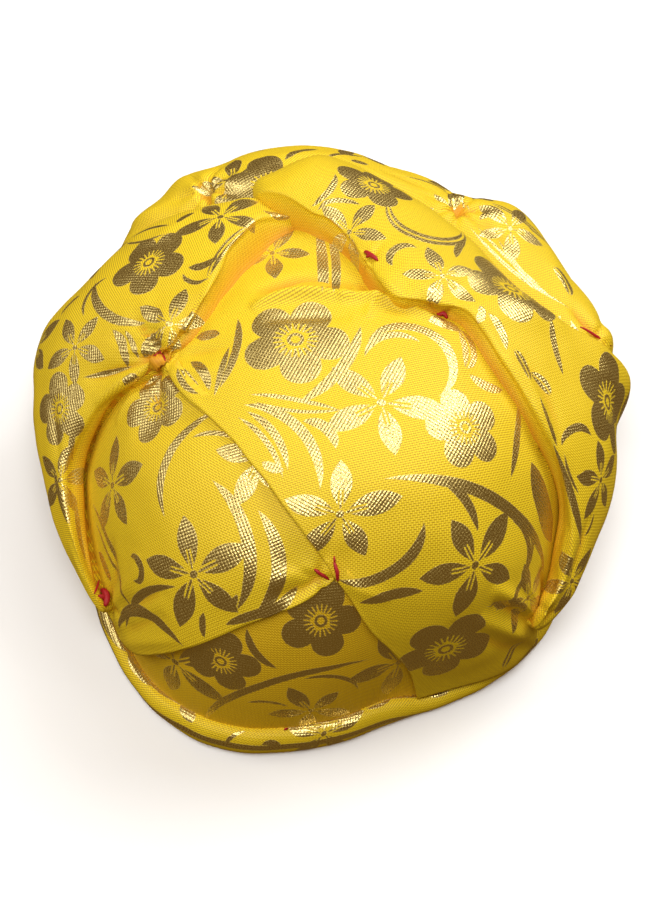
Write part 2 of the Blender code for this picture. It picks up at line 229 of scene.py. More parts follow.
def leaf_flower():
    """Five pointed leaves of unlike lengths, slit at their roots, about a dot."""
    tree, given, made = motif_group("leaf_flower")
    radius, angle = polar(tree, given.outputs["Place"])
    radius = radius * (1.0 + reckon("SINE", angle * UNLIKE_TURNS + UNLIKE_START) * UNLIKE_LEAVES)
    along_leaf, across_leaf = in_petal(radius, angle)
    share = reckon("MAXIMUM", (along_leaf - LEAF_ROOT) / LEAF_LENGTH, 0.0)
    leaf = share ** LEAF_SHAPE * (1.0 - share) * LEAF_WIDTH - across_leaf
    slit = abs(across_leaf - LEAF_SLIT) - LEAF_SLIT_WIDTH
    past_slit = reckon("MAXIMUM", along_leaf - LEAF_SLIT_END, 0.0) * CLOSING_SLOPE
    leaf = reckon("MINIMUM", leaf, slit + past_slit)
    return put_on(tree, given, made, reckon("MAXIMUM", leaf, DOT_RADIUS - radius))


def curling_stroke():
    """A curved brush stroke that tapers to both ends, whole or doubled."""
    tree, given, made = motif_group("curling_stroke", ("Half Turn", "Width", "Slit"))
    half_turn, width, slit = (Number(given.outputs[setting]) for setting in ("Half Turn", "Width", "Slit"))
    radius, angle = polar(tree, given.outputs["Place"])
    taper = 1.0 - abs(angle / half_turn) ** STROKE_TAPER
    off_line = abs(radius - 1.0)
    return put_on(tree, given, made, reckon("MINIMUM", taper * width - off_line, off_line - slit))


# The pores between the threads: how sharply they close, their share and that of the ribs that run one way,
# and how much of both shows, at least and with the speckle.
PORE_SHARPNESS, PORE_SHARE, RIB_SHARE, LEAST_SHOWN, SHOWN_SPREAD = 2.2, 0.6, 0.45, 0.2, 1.6
SPECKLE_DETAIL, THREAD_IN_SPECKLE = 2.0, 0.06


def noise_over(place, scale, detail):
    """A soft flat noise over the cloth, from 0 to 1."""
    inputs = {"Vector": place, "Scale": scale, "Detail": detail}
    return Number(add_node(place.id_data, "ShaderNodeTexNoise", inputs, noise_dimensions="2D").outputs[0])


def plain_weave():
    """Threads over and under each other: their height, the pores between them, and a speckle along them."""
    tree, given, made = effect(
        "plain_weave", [("Place", "NodeSocketVector"), ("Pitch", "NodeSocketFloat")],
        [("Height", "NodeSocketFloat"), ("Pores", "NodeSocketFloat"), ("Speckle", "NodeSocketFloat")],
    )
    place, pitch = given.outputs["Place"], Number(given.outputs["Pitch"])
    turned = {"Vector": place, "Angle": math.radians(THREAD_TURN)}
    bias = add_node(tree, "ShaderNodeVectorRotate", turned, rotation_type="Z_AXIS")
    x, y, _ = parts_of(bias.outputs["Vector"])
    weft, warp = reckon("SINE", x / pitch * math.pi), reckon("SINE", y / pitch * math.pi)
    crossing = weft * warp
    low = abs(weft) * abs(warp)
    ribs = 1.0 - abs(warp)
    pores = (1.0 - low) ** PORE_SHARPNESS * PORE_SHARE + ribs * RIB_SHARE
    scatter = noise_over(place, SPECKLE_SCALE, SPECKLE_DETAIL)
    feed(made.inputs["Height"], crossing * 0.5 + 0.5)
    feed(made.inputs["Pores"], pores * (scatter * SHOWN_SPREAD + LEAST_SHOWN))
    feed(made.inputs["Speckle"], scatter + crossing * THREAD_IN_SPECKLE)
    return tree


MOTIFS = {"round": round_flower(), "leaf": leaf_flower(), "stroke": curling_stroke()}
WEAVE = plain_weave()


def blend_of(factor, first, second):
    """A mix of two colours, each of them plain or from a node."""
    inputs = {"Factor": factor, 6: first, 7: second}
    return add_node(factor.socket.id_data, "ShaderNodeMix", inputs, data_type="RGBA").outputs[2]


def within(value, low, high, **settings):
    """How far a number is on its way from low to high, from 0 to 1."""
    inputs = {"Value": value, "From Min": low, "From Max": high}
    return Number(add_node(value.socket.id_data, "ShaderNodeMapRange", inputs, **settings).outputs["Result"])


def print_motif(cloth, motif):
    """The flat place of the cloth and the print on it so far, with one more motif."""
    kind, spot, turn, size, settings = motif
    local = add_node(
        cloth.id_data, "ShaderNodeMapping",
        {"Location": (*spot, 0), "Rotation": (0, 0, turn), "Scale": (size, size, 1), "Vector": cloth},
        vector_type="TEXTURE",
    )
    shape = add_node(
        cloth.id_data, "ShaderNodeGroup",
        {"Cloth": cloth, "Place": local.outputs["Vector"], "Size": size, **settings}, node_tree=MOTIFS[kind],
    )
    return shape.outputs["Cloth"]


def woven(name):
    """A new material, the flat place of its cloth, and the height, pores and speckle of its weave."""
    made = bpy.data.materials.new(name)
    made.use_nodes = True
    place = add_node(made.node_tree, "ShaderNodeUVMap", uv_map="pattern").outputs["UV"]
    weave = add_node(
        made.node_tree, "ShaderNodeGroup", {"Pitch": THREAD_PITCH, "Place": place}, node_tree=WEAVE,
    )
    return made, place, *(Number(weave.outputs[measure]) for measure in ("Height", "Pores", "Speckle"))


def finished(made, colour, metallic, roughness, height):
    """The material with this finish, and with its weave raised by this height in millimetres."""
    raised = {"Distance": MM, "Strength": GRAIN_STRENGTH, "Height": height}
    bump = add_node(made.node_tree, "ShaderNodeBump", raised)
    finish = {
        "Base Color": colour, "Metallic": metallic, "Roughness": roughness, "Normal": bump.outputs["Normal"],
    }
    for socket, value in finish.items():
        feed(made.node_tree.nodes["Principled BSDF"].inputs[socket], value)
    return made


# How far the foil's edge strays with the threads, and where it begins and is whole, in millimetres.
FOIL_STRAY, FOIL_BEGINS, FOIL_WHOLE = 0.6, -0.10, 0.16
# The speckle at which the foil begins to be worn, and at which it is as worn as can be.
WEAR_BEGINS, WEAR_ENDS = 0.49, 0.57
# How much less rough the foil is than the cotton, and how much of that it loses where it is worn.
FOIL_SMOOTHNESS, WORN_ROUGHNESS = 0.42, 0.36
DYE_DETAIL, REVERSE_PORES = 3.0, 0.45


def printed_cotton(name, motifs):
    """Yellow cotton with these motifs in foil on its face."""
    made, place, height, pores, speckle = woven(name)
    tree = made.node_tree

    # Bare cloth lies far outside every motif. The foil's edge follows the threads, a little to and fro.
    bare = add_node(tree, "ShaderNodeVectorMath", {0: place, 1: (0, 0, -1)}, operation="ADD")
    cloth = bare.outputs["Vector"]
    for motif in motifs:
        cloth = print_motif(cloth, motif)
    ragged = (speckle - 0.5) * (FOIL_STRAY * MM)
    printed = parts_of(cloth)[2] + ragged
    foil = within(printed, FOIL_BEGINS * MM, FOIL_WHOLE * MM, interpolation_type="SMOOTHSTEP")

    # Here and there the cloth has taken more dye. In the folds a deeper orange is painted in as shade,
    # standing in for the light that comes back from cloth to cloth there.
    colour = blend_of(pores, COTTON_YELLOW, COTTON_PORES)
    colour = blend_of(noise_over(place, DYE_SCALE, DYE_DETAIL) * MOST_DYE, colour, COTTON_DYED_TWICE)
    # The fold attribute gives how much painted shade the cloth takes here.
    fold = Number(add_node(tree, "ShaderNodeAttribute", attribute_name="fold").outputs["Fac"])
    painted_fold_shade = reckon("MINIMUM", fold * MOST_PAINTED_SHADE, MOST_PAINTED_SHADE)
    colour = blend_of(reckon("MAXIMUM", painted_fold_shade, 0.0), colour, COTTON_PAINTED_FOLD_SHADE)
    worn = within(speckle, WEAR_BEGINS, WEAR_ENDS)
    gold = blend_of(worn * MOST_WORN, FOIL_GOLD, FOIL_WORN)
    roughness = COTTON_ROUGHNESS + foil * (worn * WORN_ROUGHNESS - FOIL_SMOOTHNESS)
    grain = height * COTTON_GRAIN + speckle * foil * FOIL_GLITTER
    return finished(made, blend_of(foil, colour, gold), foil, roughness, grain)


def plain_cotton(name):
    """The reverse of the cotton, with no foil."""
    made, _, height, pores, _ = woven(name)
    colour = blend_of(pores * REVERSE_PORES, COTTON_REVERSE, COTTON_PORES)
    return finished(made, colour, 0.0, REVERSE_ROUGHNESS, height * REVERSE_GRAIN)


REVERSE = plain_cotton("cotton_reverse")


# The cap. A hollow dome of the same cotton, double and sewn to the hem, on which all the rest is laid.
# Its front wall is left bare as a shaded panel below the tack.
CENTRE = (1.8, -17.9)
CAP_HEIGHT, CAP_WALL = 113.0, 2.0
# The dressed cap is fuller than the solid one, and this much higher at its crown.
CAP_FULLNESS = 2.6
# The powers of a dome's section, and how much closer the places down it lie near its top.
CROWN_FLATNESS, CROWN_UPRIGHTNESS, DOWN_SPACING = 3.0, 2.2, 1.5
HEM_WIDTH, HEM_HEIGHT = 7.0, 13.5
# Columns: azimuth, radius.
HEM_OUTLINE = (
    (0, 103), (30, 102), (60, 103), (90, 105), (120, 104), (150, 104), (180, 107), (210, 113),
    (242, 121), (266, 110), (286, 100.5), (314, 103.5), (327, 105.0), (345, 103.5),
)
CAP_OUTLINE = tuple((azimuth, radius - HEM_WIDTH) for azimuth, radius in HEM_OUTLINE)


def hermite(before, start, end, after, spans, share):
    """A smooth curve between start and end, whose slopes there come from the neighbouring values."""
    span_before, span, span_after = spans
    start_slope = (end - before) / (span_before + span) * span
    end_slope = (after - start) / (span + span_after) * span
    s2, s3 = share * share, share * share * share
    return (
        (2 * s3 - 3 * s2 + 1) * start + (s3 - 2 * s2 + share) * start_slope
        + (3 * s2 - 2 * s3) * end + (s3 - s2) * end_slope
    )


def around(table, azimuth):
    """The radius at an azimuth, read smoothly from a table that goes all the way round."""
    azimuth %= 360
    count = len(table)
    index = max(i for i in range(count) if table[i][0] <= azimuth)
    rows = [table[(index + k) % count] for k in (-1, 0, 1, 2)]
    turns = [((rows[k + 1][0] - rows[k][0]) % 360) for k in range(3)]
    return hermite(*[row[1] for row in rows], turns, (azimuth - rows[1][0]) / turns[1])


def along(rows, place):
    """Every column of a table at a place from 0 (its first row) to 1 (its last), read smoothly."""
    last = len(rows) - 1
    scaled = min(max(place, 0.0), 1.0) * last
    index = min(int(scaled), last - 1)
    picked = [rows[min(max(index + k, 0), last)] for k in (-1, 0, 1, 2)]
    return [hermite(*column, (1, 1, 1), scaled - index) for column in zip(*picked)]


def dome_radius(outline, azimuth, share):
    """The plan radius of a dome where its section has reached this share of its outline."""
    mean = sum(radius for _, radius in outline) / len(outline)
    return share * (mean + (around(outline, azimuth) - mean) * share * share)


def on_dome(outline, height, azimuth, down):
    """The radius and height of a dome at this azimuth and way down, from 0 at its top to 1 at its foot."""
    turn = math.radians(90) * max(down, 0.0) ** DOWN_SPACING
    share = math.sin(turn) ** (2 / CROWN_FLATNESS)
    return dome_radius(outline, azimuth, share), height * max(math.cos(turn), 0.0) ** (2 / CROWN_UPRIGHTNESS)


def above_dome(outline, height, azimuth, down, lift):
    """A point of a dome's section, raised from it along its normal."""
    step = 0.002
    before = Vector(on_dome(outline, height, azimuth, down - step))
    after = Vector(on_dome(outline, height, azimuth, down + step))
    slope = (after - before).normalized()
    return Vector(on_dome(outline, height, azimuth, down)) + Vector((-slope.y, slope.x)) * lift


def placed(azimuth, radius, level):
    """A point in metres from its azimuth, radius and height in millimetres."""
    turn = math.radians(azimuth)
    x, y = CENTRE[0] + radius * math.cos(turn), CENTRE[1] + radius * math.sin(turn)
    return x * MM, y * MM, level * MM


# Where the cloth comes down over the hem, so that only a thin cord of it shows. Columns: azimuth, share.
CORDED_HEM = (
    (0, 0.0), (60, 0.0), (150, 0.0), (185, 0.1), (205, 0.8), (216, 1.0), (228, 0.8), (240, 0.1), (262, 0.0),
    (282, 0.2), (292, 0.9), (305, 1.0), (320, 1.0), (335, 0.2),
)
CORD_TOP, BULGE_TOP, BULGE = 6.0, 26.0, 1.4


def over_hem(points):
    """The lower part of a sheet eased out over the hem, where only a cord of the hem shows."""
    flat = points.reshape(-1, 3)
    away = flat[:, :2] - np.array(CENTRE) * MM
    azimuth = np.degrees(np.arctan2(away[:, 1], away[:, 0])) % 360
    share = np.clip([around(CORDED_HEM, turn) for turn in azimuth], 0, 1)
    low = np.clip((BULGE_TOP * MM - flat[:, 2]) / ((BULGE_TOP - CORD_TOP) * MM), 0, 1)
    ease = share * low * low * (3 - 2 * low) * BULGE * MM
    moved = flat.copy()
    moved[:, :2] += away / np.linalg.norm(away, axis=1, keepdims=True) * ease[:, None]
    return moved.reshape(points.shape)


TINY = 1e-12


def faces_of(rows, columns):
    """The quads of a grid of points, row by row."""
    corner = (np.arange(rows - 1)[:, None] * columns + np.arange(columns - 1)).ravel()
    return np.stack([corner, corner + columns, corner + columns + 1, corner + 1], 1).tolist()


def normals_of(points):
    """The outward normals of a grid of points."""
    normals = np.cross(np.gradient(points, axis=0), np.gradient(points, axis=1))
    normals /= np.maximum(np.linalg.norm(normals, axis=2, keepdims=True), TINY)
    return normals


def tree_of(points):
    """A search tree over the quads of a grid of points."""
    return BVHTree.FromPolygons(points.reshape(-1, 3).tolist(), faces_of(*points.shape[:2]))


def from_front(across, down):
    """The line of sight through this place of the picture: where it starts and its direction."""
    eye, right, up, back = FRONT
    aim = (right * (across - PICTURE_WIDTH / 2) + up * (PICTURE_HEIGHT / 2 - down)) / FOCUS - back
    return eye, aim.normalized()


def flat_spot(points, laid, tree, sight, *place):
    """The place on the flat cloth of what this line of sight meets."""
    spot, _, quad, _ = tree.ray_cast(*sight(*place))
    if spot is None:
        return None
    columns = points.shape[1]
    row, column = divmod(quad, columns - 1)
    origin = points[row, column]
    shares = []
    for edge in (points[row + 1, column] - origin, points[row, column + 1] - origin):
        shares.append(float(np.dot(np.array(spot) - origin, edge) / max(np.dot(edge, edge), TINY)))
    return (
        laid[row, column] + (laid[row + 1, column] - laid[row, column]) * shares[0]
        + (laid[row, column + 1] - laid[row, column]) * shares[1]
    )


# The print's flowers are all of nearly one size: the least and the most reach of a petal, in metres.
PETAL_REACH = {"round": (0.0155, 0.0205), "leaf": (0.0170, 0.0235)}


def laid_flower(kind, middle, tip):
    """A flower on the flat cloth, from its middle and the tip of one petal."""
    way = tip - middle
    least, most = PETAL_REACH[kind]
    reach = min(max(float(np.linalg.norm(way)), least), most)
    return kind, tuple(middle), math.atan2(way[1], way[0]), reach, {}


# A stroke has some bow at least, as a share of half its chord. Slits below 0 don't show.
LEAST_BOW, NO_SLIT = 0.04, -1.0


def laid_stroke(start, middle, end, width, slit):
    """A stroke on the flat cloth: the arc through three places."""
    chord = end - start
    sag = middle - (start + end) / 2
    across = np.array([-chord[1], chord[0]]) / np.linalg.norm(chord)
    bow = float(np.dot(sag, across))
    half = float(np.linalg.norm(chord)) / 2
    if abs(bow) < half * LEAST_BOW:
        bow = half * LEAST_BOW
    radius = (half * half + bow * bow) / (2 * bow)
    centre = (start + end) / 2 + across * (bow - radius)
    outward = across * (1 if bow > 0 else -1)
    half_turn = math.asin(min(half / abs(radius), 1.0))
    if abs(bow) > half:
        half_turn = math.pi - half_turn
    radius = abs(radius)
    settings = {
        "Half Turn": half_turn,
        "Width": width / 2 / radius,
        "Slit": slit / 2 / radius if slit else NO_SLIT,
    }
    return "stroke", tuple(centre), math.atan2(outward[1], outward[0]), radius, settings


def charted(points, laid, sight, flowers, strokes):
    """The motifs of a piece, from a chart of where they are seen. One that misses the cloth is left out."""
    tree = tree_of(points)
    motifs = []
    for kind, *places in flowers:
        middle, tip = (flat_spot(points, laid, tree, sight, *places[k:k + 2]) for k in (0, 2))
        if middle is not None and tip is not None:
            motifs.append(laid_flower(kind, middle, tip))
    for *places, width, slit in strokes:
        spots = [flat_spot(points, laid, tree, sight, *places[k:k + 2]) for k in (0, 2, 4)]
        if all(spot is not None for spot in spots):
            motifs.append(laid_stroke(*spots, width * MM, slit * MM))
    return motifs


# The finer folds beside the broad ones, and how far apart the places of two pieces lie in the noise.
FINE_FOLDS, FINE_SHARE, SEED_STEP = 2.3, 0.4, (7.1, 3.7)


def rumpled(points, seed, amount, scale):
    """The cloth with the slow unevenness of folds made by hand, of this amount and scale in millimetres."""
    normals = normals_of(points)
    shift = Vector((seed * SEED_STEP[0], seed * SEED_STEP[1], 0))
    lift = []
    for spot in points.reshape(-1, 3).tolist():
        broad = noise.noise(Vector(spot) / (scale * MM) + shift)
        fine = noise.noise(Vector(spot) * FINE_FOLDS / (scale * MM) + shift)
        lift.append(broad + FINE_SHARE * fine)
    return points + normals * (np.array(lift).reshape(points.shape[:2]) * amount * MM)[..., None]


# Points of a seam that lie this near to each other, in millimetres, are one.
SEAM_GAP = 0.02


def piece_from(name, points, laid, materials, wall=None, closed_ends=False):
    """An object of cloth from a grid of points and the flat place of each, with a wall on its inside."""
    rows, columns = points.shape[:2]
    faces = faces_of(rows, columns)
    if closed_ends:
        first_loop = list(range(columns - 1))
        last_loop = [(rows - 1) * columns + k for k in reversed(first_loop)]
        faces += [first_loop, last_loop]
    mesh = bpy.data.meshes.new(name)
    mesh.from_pydata(points.reshape(-1, 3).tolist(), [], faces)
    corners = np.zeros(len(mesh.loops), int)
    mesh.loops.foreach_get("vertex_index", corners)
    layer = mesh.uv_layers.new(name="pattern")
    layer.uv.foreach_set("vector", laid[..., :2].reshape(-1, 2)[corners].ravel())
    # A third flat value, the share of painted shade, is kept as the fold attribute.
    if laid.shape[2] == 3:
        fold = mesh.attributes.new("fold", "FLOAT", "POINT")
        fold.data.foreach_set("value", laid[..., 2].ravel())
    for material in materials:
        mesh.materials.append(material)
    shell = bmesh.new()
    shell.from_mesh(mesh)
    bmesh.ops.remove_doubles(shell, verts=shell.verts, dist=SEAM_GAP * MM)
    shell.to_mesh(mesh)
    shell.free()
    mesh.shade_smooth()
    piece = bpy.data.objects.new(name, mesh)
    bpy.context.scene.collection.objects.link(piece)
    if wall:
        solidify = piece.modifiers.new("wall", "SOLIDIFY")
        solidify.thickness = wall * MM
        solidify.offset = -1
        solidify.material_offset = len(materials) - 1
    return piece


CAP_ROWS, CAP_COLUMNS = 97, 241
# How far down the cap the last row of its cloth lies.
CAP_LAST = 0.985
# The seams of the cap and the hem lie at the back, at this azimuth.
SEAM = 60
cap_points = np.array([
    [
        placed(azimuth, *on_dome(CAP_OUTLINE, CAP_HEIGHT + CAP_FULLNESS, azimuth, down))
        for azimuth in np.linspace(SEAM, SEAM + 360, CAP_COLUMNS)
    ]
    for down in (CAP_LAST * row / (CAP_ROWS - 1) for row in range(CAP_ROWS))
])
cap_points[0] = cap_points[0].mean(0)
cap_points = over_hem(cap_points)
# Flat, the cap's cloth is a band as long as the wall is round, and as wide as the way up over the crown.
CAP_WALL_RADIUS = 101.0
cap_laid = np.zeros((CAP_ROWS, CAP_COLUMNS, 2))
cap_laid[..., 0] = np.radians(np.linspace(-SEAM - 360, -SEAM, CAP_COLUMNS)) * CAP_WALL_RADIUS * MM
cap_laid[1:, :, 1] = -np.cumsum(np.linalg.norm(np.diff(cap_points, axis=0), axis=2), axis=0)
# The cap's bare panel lies in the shade of the drapes, as if this deep in a fold.
CAP_SHADE = 0.3
# Columns: motif, then the middle and a petal's tip as seen, in pixels of the picture.
CAP_FLOWERS = (
    ("round", 221, 661, 258, 667),
    ("round", 321, 621, 335, 582),
    ("leaf", 311, 710, 270, 714),
    ("leaf", 175, 662, 170, 692),
    ("leaf", 399, 662, 376, 632),
)
# Columns: start, middle and end as seen, then width and slit in millimetres.
CAP_STROKES = (
    (206, 721, 285, 677, 368, 660, 3.6, 0),
    (247, 703, 268, 702, 288, 706, 1.6, 0),
    (304, 680, 333, 676, 358, 689, 2.2, 0),
    (247, 629, 255, 652, 277, 669, 3.4, 0),
    (212, 721, 243, 731, 275, 730, 1.3, 0),
)
cap_print = charted(cap_points, cap_laid, from_front, CAP_FLOWERS, CAP_STROKES)
cap_points = rumpled(cap_points, seed=1, amount=0.5, scale=26)
cap_laid = np.concatenate([cap_laid, np.full((CAP_ROWS, CAP_COLUMNS, 1), CAP_SHADE)], 2)
cap_cotton = printed_cotton("cap_cotton", cap_print)
cap = piece_from("cap_cloth", cap_points, cap_laid, [cap_cotton, REVERSE], CAP_WALL)
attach(cap, "root")
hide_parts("cap")


# The hem. The cap's lower edge and the ends of the drapes are rolled up together into a soft cord round
# the head opening, and the turban stands on it, so its underside is pressed flat.
HEM_STEPS, HEM_SECTION_STEPS = 361, 4
HEM_RADIUS = 107.0
# The cord's twist: how many strands it shows all round, how far they stand out, and the height above which
# they do so in full.
HEM_STRANDS, STRAND_DEPTH, STRAND_FOOT = 34, 0.12, 3.0
# Above this level the hem's section keeps its distance from the cap as it is here.
HEM_SEAT = 9.0
# The full roll and the thin cord. Columns: distance outwards from the cap's outer face, height.
HEM_ROLL = (
    (-4.0, 6.0), (-1.5, 12.2), (1.6, 13.3), (4.3, 12.2), (6.4, 8.8), (7.0, 5.4), (6.3, 1.9),
    (4.4, 0.0), (1.0, 0.0), (-2.4, 0.0), (-4.0, 2.2), (-4.4, 4.0),
)
HEM_CORD = (
    (-4.0, 5.0), (-1.5, 6.0), (1.4, 7.6), (4.2, 8.6), (6.6, 7.2), (7.8, 4.6), (7.2, 1.8),
    (5.0, 0.0), (1.0, 0.0), (-2.4, 0.0), (-4.0, 1.6), (-4.4, 3.2),
)


def dome_radius_at(outline, height, azimuth, level):
    """The radius of a dome's wall at this level above the floor."""
    share = (1 - (max(level, 0.0) / height) ** CROWN_UPRIGHTNESS) ** (1 / CROWN_FLATNESS)
    return dome_radius(outline, azimuth, share)


def hem_loop(azimuth):
    """The closed section of the hem at an azimuth."""
    loop = []
    corded = min(max(around(CORDED_HEM, azimuth), 0), 1)
    section = [
        [full + (thin - full) * corded for full, thin in zip(*rows)] for rows in zip(HEM_ROLL, HEM_CORD)
    ]
    count = len(section)
    for index in range(count):
        rows = [section[(index + k) % count] for k in (-1, 0, 1, 2)]
        for step in range(HEM_SECTION_STEPS):
            share = step / HEM_SECTION_STEPS
            distance, level = (hermite(*column, (1, 1, 1), share) for column in zip(*rows))
            level = max(level, 0.0)
            wall = dome_radius_at(CAP_OUTLINE, CAP_HEIGHT, azimuth, min(level, HEM_SEAT))
            loop.append(placed(azimuth, wall + distance, level))
    return [*loop, loop[0]]


hem_azimuths = np.linspace(SEAM + 360, SEAM, HEM_STEPS)
hem_points = np.array([hem_loop(azimuth) for azimuth in hem_azimuths])
hem_laid = np.zeros((*hem_points.shape[:2], 2))
hem_laid[..., 0] = np.radians(-hem_azimuths)[:, None] * HEM_RADIUS * MM
hem_laid[:, 1:, 1] = -np.cumsum(np.linalg.norm(np.diff(hem_points, axis=1), axis=2), axis=1)
HEM_FLOWERS = (
    ("leaf", 324, 733, 300, 728),
)
HEM_STROKES = (
    (262, 745, 270, 741, 277, 750, 3.0, 0),
    (226, 746, 233, 736, 246, 731, 1.8, 0),
    (99, 606, 114, 629, 129, 653, 7.5, 0),
    (128, 653, 141, 669, 158, 687, 7.5, 0),
    (180, 705, 187, 712, 192, 723, 5.0, 0),
    (305, 727, 330, 720, 360, 710, 3.2, 0.6),
    (366, 708, 378, 703, 392, 697, 4.0, 0.5),
    (396, 695, 404, 692, 412, 690, 5.0, 0.5),
    (450, 700, 484, 687, 514, 669, 10.0, 0),
    (430, 697, 440, 693, 450, 690, 3.0, 0),
    (517, 662, 530, 651, 538, 638, 5.0, 0),
)


def from_side(azimuth, level):
    """A level line of sight towards the middle of the turban, from this azimuth and height in millimetres."""
    turn = math.radians(azimuth)
    out = Vector((math.cos(turn), math.sin(turn), 0))
    return Vector((CENTRE[0], CENTRE[1], level)) * MM + out * EYE_DISTANCE, -out


# The sides that the view doesn't show. Columns: azimuth and height of start, middle and end, then as before.
HEM_ROUND = tuple(
    (azimuth, 9.5, azimuth + 4, 7.0, azimuth + 9, 4.5, 3.4, 0) for azimuth in range(-45, 200, 14)
)
hem_print = charted(hem_points, hem_laid, from_front, HEM_FLOWERS, HEM_STROKES)
hem_print += charted(hem_points, hem_laid, from_side, (), HEM_ROUND)
way_round_section = np.linspace(0, 2 * math.pi, hem_points.shape[1])
strands = np.sin(np.radians(hem_azimuths)[:, None] * HEM_STRANDS + way_round_section[None, :])
strands *= np.minimum(hem_points[..., 2] / (STRAND_FOOT * MM), 1)
hem_points += normals_of(hem_points) * (strands * STRAND_DEPTH * MM)[..., None]
hem_points[..., 2] = np.maximum(hem_points[..., 2], 0.0)
# Both seams meet exactly, so that they close.
hem_points[-1] = hem_points[0]
hem_points[:, -1] = hem_points[:, 0]
hem = piece_from("hem_roll", hem_points, hem_laid, [printed_cotton("hem_cotton", hem_print)])
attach(hem, "root")
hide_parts("rim_roll")


# The left drape. Cotton laid over the left of the crown, drawn into the pit at the left, and left loose at
# its lower edge, which hangs over the cap's bare panel between the left tack and the front tack.
CROWN_HEIGHT = 118.5
LEFT_CLOTH = 0.8
# Columns: azimuth, radius.
CROWN_OUTLINE = (
    (0, 106), (45, 109), (90, 117), (135, 114), (165, 109), (180, 110), (200, 111.5), (213, 114.5),
    (228, 118), (242, 119), (266, 106.5), (286, 96.5), (314, 102.5), (327, 103), (345, 103),
)
# Columns: across, along, half_width, half_length, rise. Across and along are down * cos(azimuth) and
# down * sin(azimuth): all of the drape, its middle, the left pit and the front tack.
LEFT_SWELLINGS = (
    (0.0, 0.0, 9.0, 9.0, -1.5),
    (-0.36, -0.38, 0.20, 0.20, 2.0),
    (-0.47, -0.04, 0.10, 0.10, -2.5),
    (-0.04, -0.57, 0.11, 0.10, -1.5),
)
# Columns: azimuth, down.
LEFT_TACK = (219, 0.93)
LEFT_TUCKED_EDGE = (
    (168, 0.50), (173, 0.63), (178, 0.75), (186, 0.86), (194, 0.88), (202, 0.89), (209, 0.905), LEFT_TACK,
)
LEFT_COVERED_EDGE = (
    (166, 0.44), (180, 0.36), (194, 0.30), (217, 0.28), (233, 0.285), (247, 0.32), (259, 0.39), (268, 0.47),
    (269, 0.58),
)
LEFT_FLAP_EDGE = (
    LEFT_TACK, (225, 0.90), (232, 0.835), (240, 0.755), (248, 0.69), (255, 0.655), (262, 0.62), (269, 0.58),
)


def unwound(rows):
    """The rows with azimuths that run on past 360 or below 0, so that they can be read between rows."""
    result = [list(rows[0])]
    for row in rows[1:]:
        turn = (row[0] - result[-1][0] + 180) % 360 - 180
        result.append([result[-1][0] + turn, *row[1:]])
    return result


def swelling(rows, across, down):
    """How far the cloth stands out of or sinks into the crown here, in millimetres."""
    total = 0.0
    for middle_across, middle_down, half_width, half_length, rise in rows:
        reach = ((across - middle_across) / half_width) ** 4 + ((down - middle_down) / half_length) ** 4
        total += rise * math.exp(-reach)
    return total


def edge_reader(rows, count):
    """The edge of a drape as places across and along the crown, at this many steps."""
    rows = unwound(rows)
    places = []
    for step in range(count):
        azimuth, down = along(rows, step / (count - 1))
        turn = math.radians(azimuth)
        places.append((down * math.cos(turn), down * math.sin(turn)))
    return np.array(places)


FARTHEST_DOWN = 0.999


def draped(first, second, top, bottom, swellings, rows, columns):
    """A grid of points for a sheet laid over the crown between its four edges."""
    first, second = edge_reader(first, rows), edge_reader(second, rows)
    top, bottom = edge_reader(top, columns), edge_reader(bottom, columns)
    down = np.linspace(0, 1, rows)[:, None, None]
    share = np.linspace(0, 1, columns)[None, :, None]
    from_sides = first[:, None] * (1 - share) + second[:, None] * share
    from_ends = top[None] * (1 - down) + bottom[None] * down
    from_top_corners = (top[0] * (1 - share) + top[-1] * share) * (1 - down)
    from_bottom_corners = (bottom[0] * (1 - share) + bottom[-1] * share) * down
    spots = from_sides + from_ends - (from_top_corners + from_bottom_corners)
    points = np.zeros((rows, columns, 3))
    for place in np.ndindex(rows, columns):
        across, along_crown = spots[place]
        azimuth = math.degrees(math.atan2(along_crown, across))
        lift = swelling(swellings, across, along_crown)
        reach = min(math.hypot(across, along_crown), FARTHEST_DOWN)
        points[place] = placed(azimuth, *above_dome(CROWN_OUTLINE, CROWN_HEIGHT, azimuth, reach, lift))
    return points


def resampled(values, rows, columns):
    """A coarse grid of values, read at more places."""
    at_row = np.linspace(0, values.shape[0] - 1, rows)
    at_column = np.linspace(0, values.shape[1] - 1, columns)
    upper = np.minimum(at_row.astype(int), values.shape[0] - 2)
    left = np.minimum(at_column.astype(int), values.shape[1] - 2)
    down = (at_row - upper)[:, None, None]
    over = (at_column - left)[None, :, None]
    first = values[upper][:, left] * (1 - over) + values[upper][:, left + 1] * over
    second = values[upper + 1][:, left] * (1 - over) + values[upper + 1][:, left + 1] * over
    return first * (1 - down) + second * down


